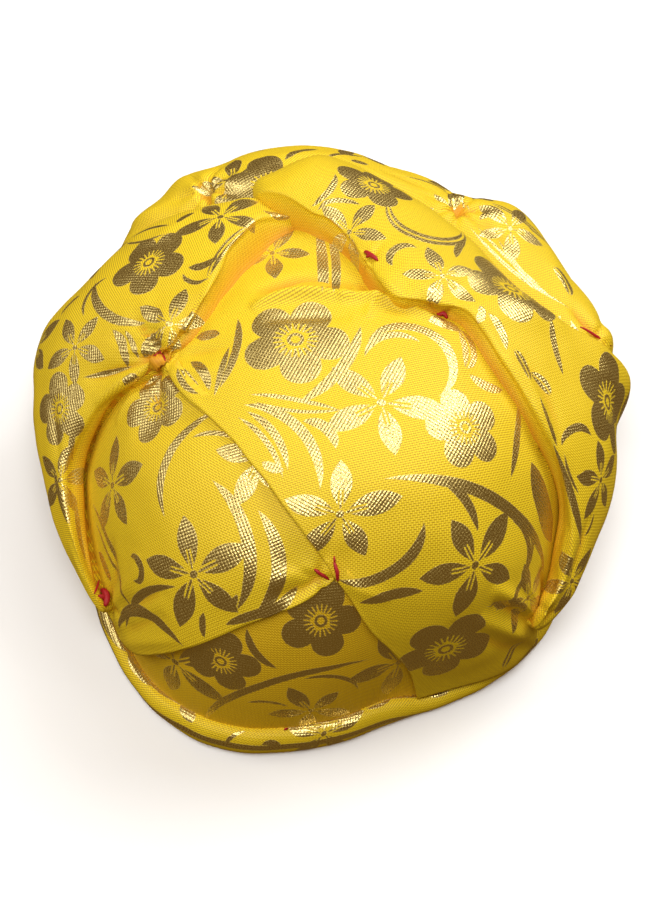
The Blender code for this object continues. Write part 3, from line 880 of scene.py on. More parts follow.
def flat_pattern(points, every=4):
    """The cloth laid flat: a place in metres for each point of a grid, unwrapped from every few of them."""
    coarse = points[::every, ::every]
    rows, columns = coarse.shape[:2]
    mesh = bpy.data.meshes.new("pattern")
    mesh.from_pydata(coarse.reshape(-1, 3).tolist(), [], faces_of(rows, columns))
    pattern = bpy.data.objects.new("pattern", mesh)
    bpy.context.scene.collection.objects.link(pattern)
    bpy.context.view_layer.objects.active = pattern
    pattern.select_set(True)
    bpy.ops.object.mode_set(mode="EDIT")
    bpy.ops.mesh.select_all(action="SELECT")
    bpy.ops.uv.unwrap(method="MINIMUM_STRETCH", margin=0.0)
    bpy.ops.object.mode_set(mode="OBJECT")
    corners = np.zeros(len(mesh.loops), int)
    mesh.loops.foreach_get("vertex_index", corners)
    places = np.zeros(len(mesh.loops) * 2)
    mesh.uv_layers.active.uv.foreach_get("vector", places)
    laid = np.zeros((rows * columns, 2))
    laid[corners] = places.reshape(-1, 2)
    bpy.data.objects.remove(pattern, do_unlink=True)
    bpy.data.meshes.remove(mesh)

    laid = laid.reshape(rows, columns, 2)
    down, over = np.diff(coarse, axis=0)[:, :-1], np.diff(coarse, axis=1)[:-1]
    real_area = np.linalg.norm(np.cross(down, over), axis=2).sum()
    down, over = np.diff(laid, axis=0)[:, :-1], np.diff(laid, axis=1)[:-1]
    signed = (down[..., 0] * over[..., 1] - down[..., 1] * over[..., 0]).sum()
    laid *= math.sqrt(real_area / abs(signed))
    if signed < 0:
        laid[..., 1] *= -1
    run = laid[rows // 2, -1] - laid[rows // 2, 0]
    turn = math.atan2(run[1], run[0])
    spin = np.array([[math.cos(turn), -math.sin(turn)], [math.sin(turn), math.cos(turn)]])
    laid = laid @ spin
    return resampled(laid - laid.mean((0, 1)), *points.shape[:2])


# How far off the cloth a line of sight may pass, in millimetres.
NEAR_MISS = 9.0


def near_spot(points, tree, across, down):
    """Where the line of sight meets the cloth, or the point of the cloth that it passes nearest to."""
    eye, aim = from_front(across, down)
    spot = tree.ray_cast(eye, aim)[0]
    if spot is not None:
        return np.array(spot)
    flat = points.reshape(-1, 3)
    away = flat - np.array(eye)
    gap = np.linalg.norm(away - (away @ np.array(aim))[:, None] * np.array(aim), axis=1)
    return flat[gap.argmin()] if gap.min() < NEAR_MISS * MM else None


# How far in a fold the cloth is pressed, in millimetres, where its painted shade begins, and how much further
# until that painted shade is full.
SHALLOW_FOLD, DEEP_FOLD = 0.7, 1.6
CREASE_STEPS, CREASE_FULLNESS = 48, 0.6
# A tack's gathers: their roundness, how far they sink, and the width of the pit as a share of their reach.
GATHER_ROUNDNESS, GATHER_SINK, PIT_SHARE = 0.7, 1.1, 0.35
# Cloth whose normal points up by more than this counts as level, and its gathers are set out from X.
LEVEL = 0.9


def creased(points, laid, creases, tacks):
    """The cloth pressed in or raised along soft lines, and gathered at its tacks. The flat place of each
    point gets a third value: how much painted shade it takes for lying in a fold, from 0 to 1."""
    tree, normals = tree_of(points), normals_of(points)
    lift = np.zeros(points.shape[:2])
    for *places, width, sharpness, rise in creases:
        spots = [near_spot(points, tree, *places[k:k + 2]) for k in (0, 2, 4)]
        if any(spot is None for spot in spots):
            continue
        start, middle, end = spots
        bend = 2 * middle - (start + end) / 2
        nearest, taper = np.full(points.shape[:2], np.inf), np.zeros(points.shape[:2])
        for share in np.linspace(0, 1, CREASE_STEPS):
            spot = (1 - share) ** 2 * start + 2 * share * (1 - share) * bend + share ** 2 * end
            gap = np.linalg.norm(points - spot, axis=2)
            closer = gap < nearest
            nearest[closer] = gap[closer]
            taper[closer] = math.sin(math.pi * share) ** CREASE_FULLNESS
        lift += rise * MM * taper * np.exp(-((nearest / (width * MM)) ** sharpness))
    for across, down, reach, folds, phase, depth, pit in tacks:
        spot, _, quad, _ = tree.ray_cast(*from_front(across, down))
        if spot is None:
            continue
        row, column = divmod(quad, points.shape[1] - 1)
        up = normals[row, column]
        first = np.cross(up, (0.0, 0.0, 1.0) if abs(up[2]) < LEVEL else (1.0, 0.0, 0.0))
        first /= np.linalg.norm(first)
        second = np.cross(up, first)
        away = points - np.array(spot)
        gap = np.linalg.norm(away, axis=2)
        angle = np.arctan2(away @ second, away @ first)
        ridges = np.abs(np.cos(folds / 2 * angle + math.radians(phase))) ** GATHER_ROUNDNESS
        waves = 2 * ridges - GATHER_SINK
        pit_reach = PIT_SHARE * reach * MM
        waves *= np.minimum(gap / pit_reach, 1.0)
        lift += depth * MM * waves * np.exp(-((gap / (reach * MM)) ** 2))
        lift -= pit * MM * np.exp(-((gap / pit_reach) ** 2))
    # Cloth pressed far enough into a fold gets painted shade.
    painted_shade_share = np.clip((-lift - SHALLOW_FOLD * MM) / (DEEP_FOLD * MM), 0, 1)
    if laid.shape[2] == 3:
        painted_shade_share = np.maximum(painted_shade_share, laid[..., 2])
    return points + normals * lift[..., None], np.concatenate([laid[..., :2], painted_shade_share[..., None]], 2)


LEFT_ROWS, LEFT_COLUMNS = 129, 97
left_points = draped(
    LEFT_TUCKED_EDGE, LEFT_COVERED_EDGE, (LEFT_TUCKED_EDGE[0], LEFT_COVERED_EDGE[0]), LEFT_FLAP_EDGE,
    LEFT_SWELLINGS, LEFT_ROWS, LEFT_COLUMNS,
)
left_laid = flat_pattern(left_points)
LEFT_FLOWERS = (
    ("round", 156, 406, 146, 441),
    ("leaf", 112, 485, 117, 433),
    ("leaf", 193, 574, 183, 507),
    ("leaf", 262, 457, 213, 449),
)
LEFT_STROKES = (
    (257, 510, 279, 563, 252, 620, 5.6, 0),
    (211, 480, 248, 546, 237, 610, 5.0, 0),
    (237, 594, 235, 601, 231, 611, 2.4, 0),
    (298, 586, 285, 604, 248, 617, 4.2, 0),
    (216, 411, 172, 447, 165, 517, 4.2, 0),
    (192, 437, 212, 433, 236, 439, 2.2, 0),
    (93, 503, 112, 555, 128, 612, 2.8, 0),
    (96, 522, 106, 552, 118, 586, 1.8, 0),
    (98, 552, 104, 566, 108, 582, 5.0, 0),
    (130, 557, 140, 560, 134, 580, 3.4, 0),
    (176, 587, 141, 594, 125, 628, 3.6, 0),
    (119, 628, 157, 616, 184, 646, 5.2, 0),
    (204, 613, 203, 626, 205, 637, 2.8, 0),
    (252, 462, 262, 474, 268, 487, 4.0, 0),
    (226, 625, 250, 619, 288, 606, 4.0, 0),
)
# Columns: start, middle and end as seen, then width in millimetres, sharpness, and rise in millimetres.
LEFT_CREASES = (
    (322, 576, 296, 590, 270, 600, 2.4, 1.6, -1.4),
    (318, 582, 300, 604, 284, 616, 2.4, 1.6, 1.2),
    (316, 568, 290, 574, 262, 586, 2.8, 1.6, 1.0),
    (160, 366, 172, 386, 190, 412, 2.6, 1.5, 1.0),
    (150, 380, 156, 398, 166, 424, 3.0, 1.6, -1.2),
    (146, 384, 128, 402, 116, 424, 2.6, 1.6, 1.2),
    (132, 386, 146, 378, 162, 366, 3.4, 1.5, -2.2),
    (108, 600, 114, 572, 110, 536, 2.6, 1.5, -1.6),
    (110, 606, 128, 584, 138, 552, 2.8, 1.6, 1.2),
    (112, 610, 140, 602, 166, 590, 2.8, 1.6, -1.4),
    (118, 636, 140, 626, 166, 616, 3.0, 1.6, -1.2),
    (120, 646, 150, 642, 186, 640, 2.4, 1.6, 1.0),
)
# Columns: place as seen, reach in millimetres, folds, phase, depth and pit in millimetres.
LEFT_TACKS = (
    (110, 604, 14, 4, 40, 0.8, 1.8),
    (318, 580, 13, 5, 0, 0.9, 1.0),
    (156, 374, 15, 5, 30, 1.2, 1.6),
)
left_print = charted(left_points, left_laid, from_front, LEFT_FLOWERS, LEFT_STROKES)
left_points = rumpled(left_points, seed=2, amount=0.8, scale=30)
left_points, left_laid = creased(left_points, left_laid, LEFT_CREASES, LEFT_TACKS)
left_cotton = printed_cotton("left_drape_cotton", left_print)
drape_left = piece_from("left_drape_cloth", left_points, left_laid, [left_cotton, REVERSE], LEFT_CLOTH)
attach(drape_left, "root")
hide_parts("drape_left")


# The right drape. The large sheet over the rest of the crown, folded under along its edge over the left
# drape, drawn in under the wraps behind, and brought down to the hem at the front right.
RIGHT_CLOTH = 0.5
RIGHT_SWELLINGS = (
    (0.04, -0.13, 0.38, 0.31, 4.0),
    (0.02, 0.36, 0.36, 0.10, -2.4),
    (-0.10, 0.56, 0.40, 0.09, 3.4),
    (-0.04, -0.57, 0.09, 0.08, -1.5),
    (0.50, -0.62, 0.26, 0.20, 2.5),
    (0.22, 0.27, 0.13, 0.13, -1.6),
    (0.44, 0.10, 0.11, 0.16, -1.6),
)
RIGHT_FOLDED_EDGE = (
    (166, 0.50), (186, 0.41), (200, 0.355), (217, 0.33), (231, 0.34), (243, 0.365), (256, 0.43),
    (265, 0.51), (269, 0.565), (274, 0.64), (279, 0.735), (284, 0.81), (288, 0.885), (290, 0.968),
)
RIGHT_PINCH = (321, 0.972)
RIGHT_TOP_EDGE = (
    (166, 0.50), (163, 0.465), (155, 0.45), (147, 0.45), (139, 0.468), (133, 0.485), (127, 0.506),
    (120, 0.528), (113, 0.55), (107, 0.56),
)
RIGHT_TUCKED_EDGE = (
    (107, 0.56), (103, 0.555), (93, 0.52), (87, 0.48), (80, 0.44), (71, 0.40), (62, 0.37), (53, 0.355),
    (44, 0.36), (36, 0.395), (28, 0.42), (22, 0.435), (16, 0.45), (7, 0.475), (357, 0.53), (348, 0.62),
    (340, 0.77), (333, 0.84), (327, 0.88), (322, 0.92), RIGHT_PINCH,
)
RIGHT_ROWS, RIGHT_COLUMNS = 193, 129
right_points = draped(
    RIGHT_FOLDED_EDGE, RIGHT_TUCKED_EDGE, RIGHT_TOP_EDGE, (RIGHT_FOLDED_EDGE[-1], (306, 0.968), RIGHT_PINCH),
    RIGHT_SWELLINGS, RIGHT_ROWS, RIGHT_COLUMNS,
)
right_points = over_hem(right_points)
right_laid = flat_pattern(right_points)
RIGHT_FLOWERS = (
    ("round", 296, 339, 305, 385),
    ("round", 465, 428, 427, 424),
    ("round", 446, 650, 415, 628),
    ("leaf", 382, 402, 402, 354),
    ("leaf", 340, 514, 341, 457),
    ("leaf", 475, 565, 450, 517),
    ("leaf", 272, 253, 309, 254),
    ("leaf", 527, 597, 540, 577),
)
RIGHT_STROKES = (
    (262, 462, 274, 468, 284, 470, 4.0, 0),
    (250, 395, 290, 401, 340, 410, 2.0, 0),
    (255, 402, 300, 411, 345, 409, 1.6, 0),
    (244, 405, 293, 421, 320, 490, 4.4, 0),
    (238, 417, 263, 437, 283, 478, 2.4, 0),
    (247, 411, 273, 431, 288, 470, 3.2, 0),
    (303, 421, 325, 427, 336, 449, 4.4, 0),
    (368, 343, 417, 325, 439, 396, 4.6, 0),
    (365, 356, 390, 335, 420, 342, 3.2, 0),
    (298, 403, 338, 373, 361, 327, 4.8, 0),
    (318, 228, 321, 259, 323, 298, 4.6, 0),
    (329, 228, 336, 260, 334, 298, 3.8, 0),
    (384, 479, 475, 487, 546, 573, 4.8, 0),
    (433, 475, 459, 491, 478, 531, 3.8, 0),
    (339, 580, 385, 577, 425, 522, 5.0, 0),
    (360, 603, 388, 596, 423, 591, 5.2, 0),
    (512, 521, 529, 560, 486, 607, 3.0, 0),
    (520, 523, 532, 556, 520, 580, 2.0, 0),
    (518, 405, 517, 441, 511, 477, 3.6, 0),
    (531, 462, 541, 500, 552, 542, 10.5, 0),
    (458, 329, 469, 345, 466, 369, 7.0, 0.8),
    (427, 322, 445, 324, 461, 332, 5.6, 0),
    (497, 612, 511, 604, 524, 608, 3.0, 0),
    (503, 668, 512, 652, 522, 640, 4.4, 0.8),
    (470, 374, 485, 385, 503, 390, 4.6, 0),
    (196, 337, 208, 334, 220, 333, 5.0, 0),
    (238, 318, 236, 350, 220, 388, 3.6, 0),
    (229, 345, 222, 368, 214, 396, 2.6, 0),
    (179, 367, 187, 382, 200, 393, 5.5, 0.6),
    (190, 360, 203, 371, 209, 390, 4.0, 0),
)
RIGHT_CREASES = (
    (250, 308, 300, 296, 352, 299, 2.6, 1.6, 5.0),
    (336, 299, 385, 303, 446, 326, 2.6, 1.6, 4.2),
    (250, 294, 300, 282, 354, 285, 5.0, 2.0, -2.4),
    (345, 286, 385, 290, 420, 306, 4.5, 2.0, -2.0),
    (262, 322, 305, 316, 352, 318, 3.0, 1.6, -1.2),
    (368, 318, 371, 306, 380, 290, 2.0, 1.5, 1.4),
    (328, 582, 352, 604, 394, 652, 2.0, 1.4, -1.0),
    (334, 578, 360, 590, 392, 600, 3.0, 1.6, 1.0),
    (326, 562, 331, 540, 338, 515, 2.6, 1.6, -0.8),
    (544, 628, 515, 612, 492, 604, 2.4, 1.7, -2.4),
    (540, 640, 508, 630, 478, 618, 3.6, 1.8, 2.6),
    (536, 618, 512, 598, 492, 588, 3.0, 1.8, 2.6),
    (545, 612, 545, 588, 540, 566, 2.8, 1.6, -1.8),
    (540, 612, 532, 594, 520, 578, 2.8, 1.6, 1.4),
    (536, 650, 500, 646, 450, 622, 4.0, 1.8, -1.4),
    (164, 360, 184, 388, 212, 418, 1.8, 1.5, 0.5),
    (168, 356, 200, 352, 238, 344, 3.0, 1.6, -1.2),
    (172, 366, 196, 372, 222, 366, 3.0, 1.6, 1.0),
    (548, 470, 540, 430, 520, 392, 4.0, 1.8, -1.0),
)
RIGHT_TACKS = (
    (340, 590, 14, 5, 20, 0.5, 0.4),
    (540, 622, 15, 5, 60, 0.8, 1.6),
    (170, 360, 12, 5, 0, 0.5, 0.8),
)
right_print = charted(right_points, right_laid, from_front, RIGHT_FLOWERS, RIGHT_STROKES)
right_points = rumpled(right_points, seed=3, amount=0.8, scale=32)
right_points, right_laid = creased(right_points, right_laid, RIGHT_CREASES, RIGHT_TACKS)


# The bend's radius and its steps in degrees, how far the cloth runs back beneath, and as how many of its
# columns that counts in the print.
FOLD_RADIUS, FOLD_STEP, FOLD_DEPTH, FOLD_COLUMNS = 0.7, 30, 6, 3


def folded_under(points, laid):
    """A drape with its first column folded under: round a soft bend and back beneath the cloth."""
    edge, inward = points[:, 0], points[:, 1] - points[:, 0]
    inward /= np.linalg.norm(inward, axis=1, keepdims=True)
    up = normals_of(points)[:, 0]
    flat_step = laid[:, 1] - laid[:, 0]
    columns, flat = [], []
    for bend in range(180, 0, -FOLD_STEP):
        turn = math.radians(bend)
        back = inward * FOLD_RADIUS * MM * math.sin(turn)
        columns.append(edge - back - up * FOLD_RADIUS * MM * (1 - math.cos(turn)))
        flat.append(laid[:, 0] - flat_step * (bend / FOLD_STEP + 1))
    columns.insert(0, columns[0] + inward * FOLD_DEPTH * MM)
    flat.insert(0, flat[0] - flat_step * FOLD_COLUMNS)
    return np.concatenate([np.stack(columns, 1), points], 1), np.concatenate([np.stack(flat, 1), laid], 1)


right_points, right_laid = folded_under(right_points, right_laid)
right_cotton = printed_cotton("right_drape_cotton", right_print)
drape_right = piece_from("right_drape_cloth", right_points, right_laid, [right_cotton, REVERSE], RIGHT_CLOTH)
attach(drape_right, "root")
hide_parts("drape_right")


# The outer wrap. A thick fold of the cloth's length, wound round the back of the cap below the other two.
# Its top goes in under them.
GAP = 0.8
TIER_HEIGHT, FOOT_HEIGHT = 58.0, HEM_HEIGHT + 2.5
BACK_STEPS, OUTER_FACE_STEPS, STATION_STEPS = 5, 14, 12
# A wrap's back reaches at least this far up the cap from its foot.
LEAST_BACK = 0.02
# Columns: azimuth, crease_r, crease_z, outer_r, outer_z, under_r, under_z, foot_z.
WRAP_OUTER = (
    (14, 98, 66, 116, 46, 108, 27, 23),
    (24, 101, 73, 129, 48, 115, 25, 20),
    (29, 101, 76, 128.5, 50, 116, 23, 18),
    (38, 99, 78, 131, 51, 118, 21, FOOT_HEIGHT),
    (47, 98, 81, 138, 51, 121, 20, FOOT_HEIGHT),
    (56, 101, 83, 144, 52, 122, 20, FOOT_HEIGHT),
    (61, 103, 83, 140.5, 53, 122, 20, FOOT_HEIGHT),
    (66, 105, 84, 135, 54, 121, 20, FOOT_HEIGHT),
    (71, 108, 84, 138, 53, 122, 20, FOOT_HEIGHT),
    (80, 112, 87, 140.5, 52, 125, 19, FOOT_HEIGHT),
    (88, 106, 93, 147, 52, 127, 19, FOOT_HEIGHT),
    (95, 101, 99, 149, 52, 128, 19, FOOT_HEIGHT),
    (101, 100, 102, 148, 52, 128, 19, FOOT_HEIGHT),
    (107, 103, 101, 147, 52, 128, 19, FOOT_HEIGHT),
    (113, 106, 98, 145, 53, 127, 19, FOOT_HEIGHT),
    (118, 110, 92, 148, 54, 127, 19, FOOT_HEIGHT),
    (123, 115, 86, 144, 54, 125, 20, FOOT_HEIGHT),
    (128, 120, 80, 143.5, 53, 123, 21, FOOT_HEIGHT),
    (134, 124, 72, 136, 51, 121, 23, 18),
    (141, 122, 64, 128, 48, 118, 25, 20),
)


def cap_down_at(level):
    """How far down the cap a level lies."""
    share = (level / CAP_HEIGHT) ** (CROWN_UPRIGHTNESS / 2)
    return (math.acos(share) / math.radians(90)) ** (1 / DOWN_SPACING)


def back_along_cap(azimuth, top_down, foot_z):
    """The side of a wrap that lies against the cap, from its foot upwards."""
    foot_down = cap_down_at(foot_z)
    top_down = min(top_down, foot_down - LEAST_BACK)
    downs = [foot_down + (top_down - foot_down) * k / BACK_STEPS for k in range(BACK_STEPS + 1)]
    return [tuple(above_dome(CAP_OUTLINE, CAP_HEIGHT, azimuth, down, GAP)) for down in downs]


def rounded(controls, steps):
    """Points on a smooth open curve through the controls."""
    last = (len(controls) - 1) * steps
    return [along(controls, k / last) for k in range(last + 1)]


def outer_section(row):
    """The section of the outer wrap, as its back and its face."""
    azimuth, crease_r, crease_z, outer_r, outer_z, under_r, under_z, foot_z = row
    controls = (
        (crease_r - 7, crease_z - 12),
        (crease_r - 2.5, crease_z - 4.5),
        (crease_r * 0.62 + outer_r * 0.38, crease_z * 0.93 + outer_z * 0.07 - 2.2),
        (crease_r * 0.15 + outer_r * 0.85, crease_z * 0.55 + outer_z * 0.45),
        (outer_r, outer_z),
        (under_r * 0.35 + outer_r * 0.65, under_z * 0.6 + outer_z * 0.4),
        (under_r, under_z),
    )
    return back_along_cap(azimuth, cap_down_at(TIER_HEIGHT), foot_z), rounded(controls, OUTER_FACE_STEPS)


def wound(rows, section):
    """The grids of points of a wrap's face and back, through the sections that its table gives.
    They run clockwise as seen from above, so that the face's normals point outwards."""
    rows = unwound(rows)
    if rows[0][0] < rows[-1][0]:
        rows.reverse()
    stations = (len(rows) - 1) * STATION_STEPS
    faces, backs = [], []
    for station in range(stations + 1):
        row = along(rows, station / stations)
        back, face = section(row)
        backs.append([placed(row[0], *spot) for spot in back])
        faces.append([placed(row[0], *spot) for spot in face])
    return np.array(faces), np.array(backs)


# How many loops at each end of a wrap are drawn together, and how open the last one stays.
ROUND_OFF, END_OPENING = 8, 0.15


def closed_wrap(face, back, laid):
    """A wrap's face and back joined into one closed skin whose ends are drawn together."""
    loops = np.concatenate([face, back, face[:, :1]], 1)
    behind = np.concatenate([face[:, -1:], back, face[:, :1]], 1)
    length = np.cumsum(np.linalg.norm(np.diff(behind, axis=1), axis=2), axis=1)
    run = laid[:, -1:] - laid[:, -2:-1]
    run = run / np.maximum(np.linalg.norm(run, axis=2, keepdims=True), TINY)
    flat = np.concatenate([laid, laid[:, -1:] + run * length[..., None]], 1)
    middles = loops.mean(1, keepdims=True)
    for step in range(ROUND_OFF):
        keep = math.sqrt(1 - ((ROUND_OFF - step) / (ROUND_OFF + END_OPENING)) ** 2)
        for end in (step, len(loops) - 1 - step):
            loops[end] = middles[end] + (loops[end] - middles[end]) * keep
    return loops, flat


def make_wrap(name, face, back, laid, motifs, replaced):
    """A closed wrap in printed cotton, which stands for its solid."""
    loops, flat = closed_wrap(face, back, laid)
    piece = piece_from(name, loops, flat, [printed_cotton(name + "_cotton", motifs)], closed_ends=True)
    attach(piece, "root")
    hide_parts(replaced)
    return piece


outer_face, outer_back = wound(WRAP_OUTER, outer_section)
outer_laid = flat_pattern(outer_face)
OUTER_FLOWERS = (
    ("leaf", 511, 228, 534, 240),
    ("round", 268, 187, 316, 178),
    ("leaf", 232, 180, 236, 160),
)
OUTER_STROKES = (
    (324, 159, 346, 155, 365, 158, 1.8, 0),
    (350, 161, 360, 163, 368, 165, 3.0, 0),
    (434, 194, 443, 200, 451, 205, 2.6, 0),
    (470, 228, 510, 268, 571, 309, 1.8, 0),
    (500, 238, 522, 272, 556, 300, 2.4, 0),
    (478, 226, 505, 255, 540, 285, 1.6, 0),
    (552, 268, 563, 280, 569, 297, 5.6, 0.8),
    (480, 218, 488, 213, 500, 212, 3.4, 0),
    (285, 160, 300, 152, 318, 150, 3.0, 0),
    (405, 175, 440, 188, 470, 208, 1.6, 0),
    (421, 221, 428, 214, 434, 209, 5.0, 0),
    (560, 316, 556, 324, 554, 340, 2.8, 0),
    (570, 321, 582, 343, 598, 354, 3.2, 0),
)
OUTER_CREASES = (
    (457, 198, 459, 206, 462, 218, 2.6, 1.5, -2.6),
    (466, 200, 490, 224, 520, 254, 4.0, 1.7, -1.6),
    (478, 206, 505, 214, 530, 232, 5.0, 1.8, 1.2),
    (200, 180, 204, 192, 208, 206, 2.4, 1.5, -1.8),
    (193, 180, 196, 194, 200, 208, 2.2, 1.5, 1.4),
    (212, 178, 214, 190, 216, 204, 2.4, 1.5, 1.2),
    (208, 178, 230, 190, 262, 184, 3.0, 1.6, -1.2),
    (130, 226, 150, 212, 178, 198, 3.2, 1.7, 1.2),
    (126, 236, 150, 226, 180, 216, 2.8, 1.7, -1.2),
    (600, 332, 585, 322, 572, 302, 3.2, 1.6, -1.6),
    (604, 322, 590, 300, 572, 280, 3.6, 1.6, 1.2),
    (552, 262, 560, 280, 566, 300, 3.6, 1.6, 1.2),
    (262, 168, 310, 164, 360, 166, 3.0, 1.7, -1.0),
    (262, 158, 310, 154, 352, 156, 3.0, 1.7, 0.8),
    (380, 170, 410, 180, 450, 200, 2.6, 1.6, -1.2),
    (392, 166, 420, 176, 452, 192, 2.6, 1.6, 1.0),
)
OUTER_TACKS = (
    (205, 190, 16, 7, 0, 1.6, 2.4),
    (459, 207, 14, 7, 30, 1.6, 2.4),
    (596, 338, 14, 5, 30, 1.4, 1.4),
)
# Round the back. Columns: motif, azimuth and height of its middle and of a petal's tip.
OUTER_ROUND_FLOWERS = (
    ("leaf", 36, 44, 44, 50),
    ("round", 56, 50, 63, 44),
    ("leaf", 76, 40, 76, 56),
    ("round", 95, 50, 102, 56),
    ("leaf", 113, 42, 120, 50),
    ("round", 131, 50, 137, 44),
    ("leaf", 87, 72, 94, 74),
    ("leaf", 66, 68, 60, 72),
    ("leaf", 108, 70, 102, 66),
)
OUTER_ROUND_STROKES = (
    (22, 30, 30, 27, 40, 33, 3.0, 0),
    (44, 30, 52, 26, 60, 32, 3.4, 0),
    (45, 62, 50, 70, 60, 74, 3.2, 0.6),
    (64, 32, 68, 44, 66, 56, 3.4, 0),
    (83, 28, 92, 25, 101, 31, 3.4, 0.6),
    (84, 48, 86, 58, 82, 66, 3.0, 0),
    (104, 30, 112, 26, 120, 31, 3.2, 0),
    (102, 60, 105, 50, 104, 40, 3.2, 0),
    (119, 58, 122, 66, 128, 70, 3.4, 0),
    (122, 30, 128, 34, 136, 32, 3.2, 0.6),
    (70, 26, 74, 29, 80, 28, 3.0, 0),
)
outer_print = charted(outer_face, outer_laid, from_front, OUTER_FLOWERS, OUTER_STROKES)
outer_print += charted(outer_face, outer_laid, from_side, OUTER_ROUND_FLOWERS, OUTER_ROUND_STROKES)
outer_face = rumpled(outer_face, seed=4, amount=1.0, scale=28)
outer_face, outer_laid = creased(outer_face, outer_laid, OUTER_CREASES, OUTER_TACKS)
wrap_outer = make_wrap("outer_wrap_cloth", outer_face, outer_back, outer_laid, outer_print, "wrap_outer")


# The left wrap. The cloth's length comes up over the outer wrap at the back left, rolls over the crown's
# edge, is pinched at the left pit by a tack, and runs on down to the hem.
UPPER_FACE_STEPS, LIP = 12, 2.6
FULL_TUCK_WIDTH, FULL_TUCK_HEIGHT = 14.0, 30.0
TUCK = 0.05
# Above this way down the crown, a wrap's inner wall leans in below its lip. Further down it goes in under
# the lip.
LEAN_TURNS, LEAN_SPAN, MOST_LEAN, LEANING_ROOT = 0.60, 0.10, 0.45, 4.0
# How far a wrap lies above the crown at its root, and how much further at its underside, in millimetres.
ROOT_GAP, UNDERSIDE_GAP = 0.4, 0.5
# How far along the tuck its underside and the top of its back lie.
UNDERSIDE_SHARE, BACK_SHARE = 0.35, 0.6
NARROWINGS = 30
# Columns: azimuth, edge_r, edge_z, crest_r, crest_z, outer_r, outer_z, under_r, under_z, foot_z.
WRAP_LEFT = (
    (97, 84, 99, 86, 99.5, 89, 97, 89, 91, 80),
    (103, 82, 102.5, 87, 102.5, 92, 99, 91, 90, 72),
    (107, 82, 105, 91, 104, 101, 97, 96, 85, 66),
    (113, 81, 109, 95, 107.5, 104, 95, 97, 78, 62),
    (120, 76, 111.5, 95, 109, 110, 90, 102, 76, 62),
    (127, 72, 113, 95, 108.5, 118, 83, 106, 72, 62),
    (133, 68, 114, 96, 107.5, 125, 75, 110, 68, 62),
    (139, 65, 115, 99, 104, 132, 58, 119, 30, 20),
    (147, 62, 116, 100, 101, 133.5, 56, 120, 27, 17),
    (155, 62, 114, 99, 99, 136, 54, 120, 25, 17),
    (163, 64, 110, 101, 93, 133, 53, 119, 24, 17),
    (169, 71, 103, 104, 85, 129, 52, 118, 24, 17),
    (173, 82, 92, 109, 78, 127, 50, 117, 24, 17),
    (178, 96, 79, 113, 71, 124, 48, 116, 24, 17),
    (186, 107.5, 61, 114, 62, 121, 45, 115, 25, 17),
    (194, 110, 52, 114, 54, 119, 41, 114, 26, 18),
    (202, 111, 46, 114, 47, 117, 37, 114, 28, 20),
    (209, 112, 41, 114, 41, 116, 36, 114, 30, 24),
    (214, 112, 38, 114, 37, 115, 33, 114, 30, 26),
)


def nearest_down(outline, height, azimuth, spot):
    """How far down a dome's section lies nearest to a spot, found by narrowing the stretch by thirds."""
    low, high = 0.05, 0.97
    for _ in range(NARROWINGS):
        upper, lower = low + (high - low) / 3, high - (high - low) / 3
        upper_gap = (Vector(on_dome(outline, height, azimuth, upper)) - spot).length
        lower_gap = (Vector(on_dome(outline, height, azimuth, lower)) - spot).length
        if upper_gap < lower_gap:
            high = lower
        else:
            low = upper
    return (low + high) / 2


def upper_section(row):
    """The section of an upper wrap: its back up the cap, and its face from under its rolled edge outwards."""
    azimuth, edge_r, edge_z, crest_r, crest_z, outer_r, outer_z, under_r, under_z, foot_z = row
    edge_down = nearest_down(CROWN_OUTLINE, CROWN_HEIGHT, azimuth, Vector((edge_r, edge_z)))
    tuck_depth = TUCK * min((outer_r - edge_r) / FULL_TUCK_WIDTH, (edge_z - foot_z) / FULL_TUCK_HEIGHT, 1)
    lean = min(max((LEAN_TURNS - edge_down) / LEAN_SPAN, -1.0), 1.0)
    tuck_depth *= -lean * (MOST_LEAN if lean > 0 else 1)
    turn = math.radians(azimuth)
    rise = swelling(RIGHT_SWELLINGS, edge_down * math.cos(turn), edge_down * math.sin(turn))
    seat = max(rise, 0.0) + ROOT_GAP
    root = seat - LEANING_ROOT * max(lean, 0.0)
    tuck = above_dome(CROWN_OUTLINE, CROWN_HEIGHT, azimuth, edge_down + tuck_depth, root)
    underside_down = edge_down + tuck_depth * UNDERSIDE_SHARE
    underside = above_dome(CROWN_OUTLINE, CROWN_HEIGHT, azimuth, underside_down, seat + UNDERSIDE_GAP)
    controls = (
        tuple(tuck),
        tuple(underside),
        (edge_r, edge_z),
        (edge_r + LIP, edge_z + LIP),
        (crest_r, crest_z),
        (outer_r * 0.7 + crest_r * 0.3, outer_z * 0.45 + crest_z * 0.55),
        (outer_r, outer_z),
        (under_r, under_z),
    )
    cap_top = nearest_down(CAP_OUTLINE, CAP_HEIGHT, azimuth, tuck) + max(tuck_depth, 0.0) * BACK_SHARE
    return back_along_cap(azimuth, cap_top, foot_z), rounded(controls, UPPER_FACE_STEPS)


# The inner wall below a wrap's rolled edge, as columns of its face: where it has full painted shade, then
# where that shade has faded out.
WALL_IN, WALL_OUT = 8, 26


def with_painted_wall_shade(laid):
    """The flat places of a wrap, with a third value, its share of painted shade: 1 on its inner wall, and
    falling to 0 over its edge.
    """
    share = np.clip((WALL_OUT - np.arange(laid.shape[1])) / (WALL_OUT - WALL_IN), 0, 1)
    return np.concatenate([laid, np.broadcast_to(share[None, :, None], (*laid.shape[:2], 1))], 2)


